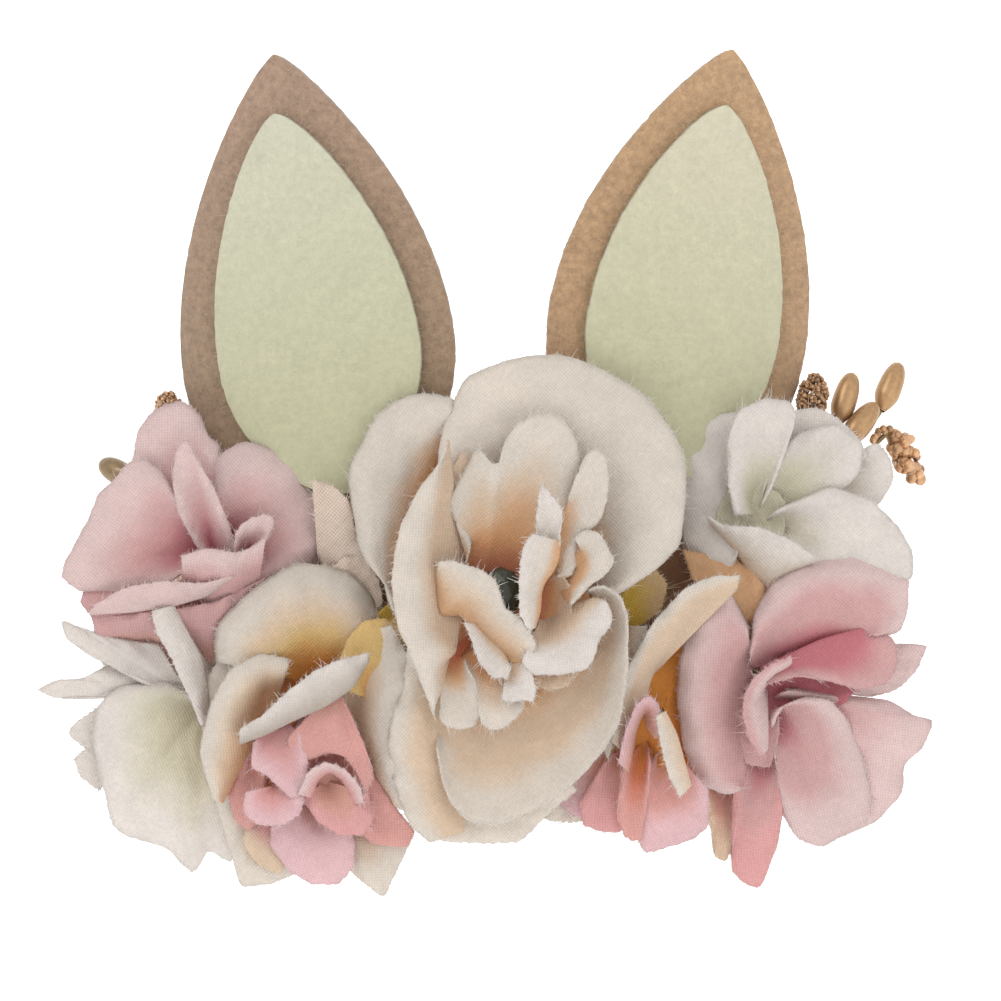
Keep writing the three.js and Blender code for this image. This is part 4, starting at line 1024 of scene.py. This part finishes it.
def petal_form(row, seat, seed):
    """A petal's points in mm, its thread places in mm, and how far each point is from the foot to the rim."""
    random = np.random.default_rng(seed)
    columns = PETAL_COLUMNS + 1
    rim, foot = smooth_line(row["rim"], columns), smooth_line(row["foot"], columns)
    soft_rim = smooth_line(row["rim"], columns, 160)
    if len(row["foot"]) == 1:
        foot = foot + (soft_rim - foot) * 0.06
    s, t = np.clip(petal_s, 0, 1), petal_t
    claw = np.clip(1 + petal_s * PETAL_ROWS / CLAW_ROWS, 0, 1)
    share = (t + 1) / 2
    column = np.round(share * PETAL_COLUMNS).astype(int)
    rim_out = np.interp(share, np.linspace(0, 1, len(row["rim_out"])), row["rim_out"])

    # The claw: a narrow foot that runs back from the petal to the flower's hub.
    step = VIEW_STEP * (CAMERA_DISTANCE + seat[1]) / VIEW_PLANE
    hub = np.array([VIEW_MIDDLE + seat[0] / step, VIEW_MIDDLE - (seat[2] - CAMERA_HEIGHT) / step])
    middle = foot.mean(axis=0)
    hub = hub + (middle - hub) * CLAW_SPREAD / (np.linalg.norm(middle - hub) + CLAW_SPREAD)
    place = hub + (middle - hub) * claw[:, None] + (foot - middle)[column] * (0.03 + 0.97 * claw[:, None] ** 3)
    place = place + (soft_rim - foot)[column] * s[:, None] + (rim - soft_rim)[column] * s[:, None] ** 3

    # The depth: the belly, the claw, the curl of the rim, then long folds, small waves and lumps.
    size = np.ptp(rim, axis=0).max() * VIEW_STEP
    deep = row["foot_out"] + (rim_out - row["foot_out"]) * s + row["belly"] * 4 * s * (1 - s)
    deep = np.where(petal_s < 0, min(CLAW_OUT, row["foot_out"]) * (1 - claw) + row["foot_out"] * claw, deep)
    deep = deep - row["curl"] * np.clip((s - CURL_FROM) / (1 - CURL_FROM), 0, 1) ** 2
    folds, phase = random.uniform(1.8, 3.4), random.uniform(0, 2 * np.pi)
    deep = deep + 0.018 * size * np.sin(folds * np.pi * t + phase) * s * (1 - 0.35 * s)
    waves = random.uniform(2.2, 3.6)
    deep = deep + 0.016 * size * np.sin(waves * 2 * np.pi * t + 2 * phase) * s**5
    flat = place * VIEW_STEP
    deep = deep + 0.1 * soft_noise(flat, seed + 7, 6) * np.minimum(s * 3, 1)

    # The threads lie at a small angle, and the cut rim frays unevenly.
    turn = random.uniform(-0.9, 0.9)
    threads = flat @ np.array([[math.cos(turn), math.sin(turn)], [-math.sin(turn), math.cos(turn)]])
    frayed = 0.55 * soft_noise(np.column_stack([t * size, 0 * t]), seed + 11, 1, 2) * s**8
    outward = (rim - foot)[column]
    outward /= np.linalg.norm(outward, axis=1, keepdims=True) + 1e-6
    place = place + outward * frayed[:, None]
    return from_view(place[:, 0], place[:, 1], seat[1] - deep), threads, s


def blended_petal_colours(row, along, threads, seed):
    """The petal's colour at each point, blending its colours from the foot to the rim: dye, with painted shade
    towards the foot and painted light towards the rim.
    """
    stops = np.array([linear_colour(PETAL_COLOURS[name]) for name in row["surface_colours"]])
    front = np.clip(along + 0.03 * soft_noise(threads, seed, 9), 0, 1)
    return read_along(front, np.linspace(0.06, 0.82, len(stops)), stops)


def petal_fringe(grid, surface_colours, seed):
    """The frayed threads along a petal's rim and the outer part of its sides."""
    random = np.random.default_rng(seed)
    first = len(grid) // 2
    edges = (
        (grid[-1], grid[-1] - grid[-2], surface_colours[-1]),
        (grid[first:, 0], grid[first:, 0] - grid[first:, 1], surface_colours[first:, 0]),
        (grid[first:, -1], grid[first:, -1] - grid[first:, -2], surface_colours[first:, -1]),
    )
    picked = []
    for edge in edges:
        along = lengths_along(edge[0])
        spots = random.uniform(0, along[-1], max(int(along[-1] / FRINGE_SPACING), 2))
        picked.append([read_along(spots, along, values) for values in edge])
    starts, ways, colours = (np.vstack(values) for values in zip(*picked))
    ways /= np.linalg.norm(ways, axis=1, keepdims=True) + 1e-9
    ways += random.normal(scale=0.22, size=ways.shape)
    ways /= np.linalg.norm(ways, axis=1, keepdims=True)
    count = len(starts)
    lengths = random.uniform(0.2, 0.75, count)
    lengths = lengths + (random.random(count) < LONG_THREADS) * random.uniform(0.3, 1.3, count)
    bends = random.normal(scale=0.25, size=(count, 3))
    # The threads are paler than their petal: partly the pale frayed threads' own colour, partly painted light along
    # the bright cut rims.
    colours = 0.62 * colours + 0.38 * linear_colour(THREAD_PALE_AND_RIM_LIGHT)
    return fibres(starts - ways * 0.15, ways, lengths, random.uniform(0.035, 0.065, count), colours, bends)


petal_faces, petal_s, petal_t = grid_faces(PETAL_COLUMNS, CLAW_ROWS + PETAL_ROWS)
petal_s = (petal_s * (CLAW_ROWS + PETAL_ROWS) - CLAW_ROWS) / PETAL_ROWS
petal_shape = (CLAW_ROWS + PETAL_ROWS + 1, PETAL_COLUMNS + 1, 3)
# Each cloth: how much light passes through it, its sheen, and how strongly painted shade darkens the hollows of its
# weave.
cloth_slots = {
    "cream_cloth": (0.32, 0.2, 0.1),
    "peach_cloth": (0.32, 0.2, 0.1),
    "pink_cloth": (0.3, 0.2, 0.13),
    "orange_cloth": (0.32, 0.2, 0.1),
    "white_cloth": (0.34, 0.2, 0.08),
    "gauze_cloth": (0.45, 0.1, 0.24),
    "leaf_cloth": (0.2, 0.15, 0.12),
}
cloths = {slot: cloth_material(slot.replace("_", " "), *values) for slot, values in cloth_slots.items()}
thread_material = felt_material("frayed threads")
for layer_number, (layer, (flower, slot, rows)) in enumerate(LAYERS.items()):
    seat, axes = flower_frame(flower)
    parts, frays, flat_area = [], [], 0
    for number, values in enumerate(rows):
        row = dict(zip(PETAL_TABLE, values))
        seed = 1000 + 100 * layer_number + 10 * number
        points, threads, along = petal_form(row, seat, seed)
        surface_colours = blended_petal_colours(row, along, threads, seed + 3)
        parts.append({"points": points, "faces": petal_faces, "threads": threads, "surface_colours": surface_colours})
        frays.append(petal_fringe(points.reshape(petal_shape), surface_colours.reshape(petal_shape), seed + 5))
        corners = points[petal_faces]
        crossed = np.cross(corners[:, 2] - corners[:, 0], corners[:, 3] - corners[:, 1])
        flat_area += np.linalg.norm(crossed, axis=1).sum() / 2
    piece = new_piece(f"{layer}_cloth", joined_mesh(layer, parts), cloths[slot])
    thicken(piece, PETAL_THICKNESS)
    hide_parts(layer)
    fringe = new_piece(f"{layer}_fringe", joined_mesh(f"{layer}_fringe", frays), thread_material)
    side = max(math.sqrt(flat_area / CLOTH_USED), SMALLEST_CLOTH) * MM


# Rose centre. A dark, faceted, glass-like pip, which sits on a short wire that is not built here,
# sunk between the inner petals and glued there.
PIP_SIZE = (3.3, 4.0, 2.4)
PIP_PLACE = (-1.25, 1, 13.4)
PIP_DARK = (58, 60, 48)
seat, axes = flower_frame("rose")
pip_place = seat + (bead_points * PIP_SIZE + PIP_PLACE) @ axes
pip_mesh = joined_mesh("rose_pip", [part_of(pip_place, bead_faces, linear_colour(PIP_DARK))], smooth=False)
pip = new_piece("rose_dark_pip", pip_mesh, metal_material("dark centre pip", 0.3, 0.3, 700, 0.08))
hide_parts("rose_centre_pip")


# Studio. Pale seamless paper for the floor and the backdrop, an even pale room, a broad soft light
# from the upper left and a weak fill from the right. The camera looks straight at the flowers.
PAPER_FRONT = -2500
PAPER_FLOOR = -330
PAPER_BEND_AT = 900
PAPER_BEND = 500
PAPER_TOP = 2400
PAPER_HALF_WIDTH = 3000
ROOM_LIGHT = 0.95
LENS = 148.65
SENSOR_WIDTH = 36


def sweep_mesh():
    """A sheet of paper that lies flat under the headband, bends up far behind it and stands as a wall."""
    faces, s, t = grid_faces(2, 40)
    turn = np.linspace(0.1, np.pi / 2, 11)
    bend_y, bend_z = PAPER_BEND_AT + PAPER_BEND * np.sin(turn), PAPER_FLOOR + PAPER_BEND * (1 - np.cos(turn))
    path = np.concatenate([
        np.column_stack([np.linspace(PAPER_FRONT, PAPER_BEND_AT, 20), np.full(20, PAPER_FLOOR)]),
        np.column_stack([bend_y, bend_z]),
        np.column_stack([np.full(10, PAPER_BEND_AT + PAPER_BEND), np.linspace(250, PAPER_TOP, 10)]),
    ])
    row = np.round(s * 40).astype(int)
    points = np.column_stack([t * PAPER_HALF_WIDTH, path[row]])
    return joined_mesh("studio_sweep", [part_of(points, faces, (1, 1, 1))])


sweep_material, tree = new_material("pale studio paper")
place = add_node(tree, "ShaderNodeTexCoord").outputs["Object"]
tone = ranged(tree, noise(tree, place, 60, 2).outputs["Fac"], 0, 1, 0.93, 0.97)
paper = add_node(
    tree, "ShaderNodeBsdfPrincipled",
    {"Base Color": tone, "Roughness": 0.9, "Emission Color": (1, 1, 1, 1), "Emission Strength": 0.35},
)
sweep = bpy.data.objects.new("studio_sweep", sweep_mesh())
bpy.context.scene.collection.objects.link(sweep)
sweep.data.materials.append(finished(sweep_material, paper))

world = bpy.data.worlds.new("studio")
world.use_nodes = True
room = world.node_tree.nodes["Background"]
room.inputs["Color"].default_value = (1, 1, 1, 1)
room.inputs["Strength"].default_value = ROOM_LIGHT
bpy.context.scene.world = world


def soft_light(name, place, size, power):
    """A square soft box aimed at the middle of the headband."""
    light = bpy.data.lights.new(name, "AREA")
    light.size = size
    light.energy = power
    lamp = bpy.data.objects.new(name, light)
    lamp.location = place
    lamp.rotation_euler = (Vector((0, -0.05, 0.01)) - Vector(place)).to_track_quat("-Z", "Y").to_euler()
    bpy.context.scene.collection.objects.link(lamp)


soft_light("key", (-0.55, -0.75, 0.75), 0.6, 2.8)
soft_light("fill", (0.7, -0.8, 0.2), 0.8, 1.3)

camera_data = bpy.data.cameras.new("camera")
camera_data.lens = LENS
camera_data.sensor_width = SENSOR_WIDTH
camera_data.clip_start = 0.05
camera_data.clip_end = 20
camera = bpy.data.objects.new("camera", camera_data)
camera.location = (0, -CAMERA_DISTANCE * MM, CAMERA_HEIGHT * MM)
camera.rotation_euler = (math.pi / 2, 0, 0)
bpy.context.scene.collection.objects.link(camera)
bpy.context.scene.camera = camera
bpy.context.scene.view_settings.view_transform = "Standard"

bpy.context.view_layer.update()
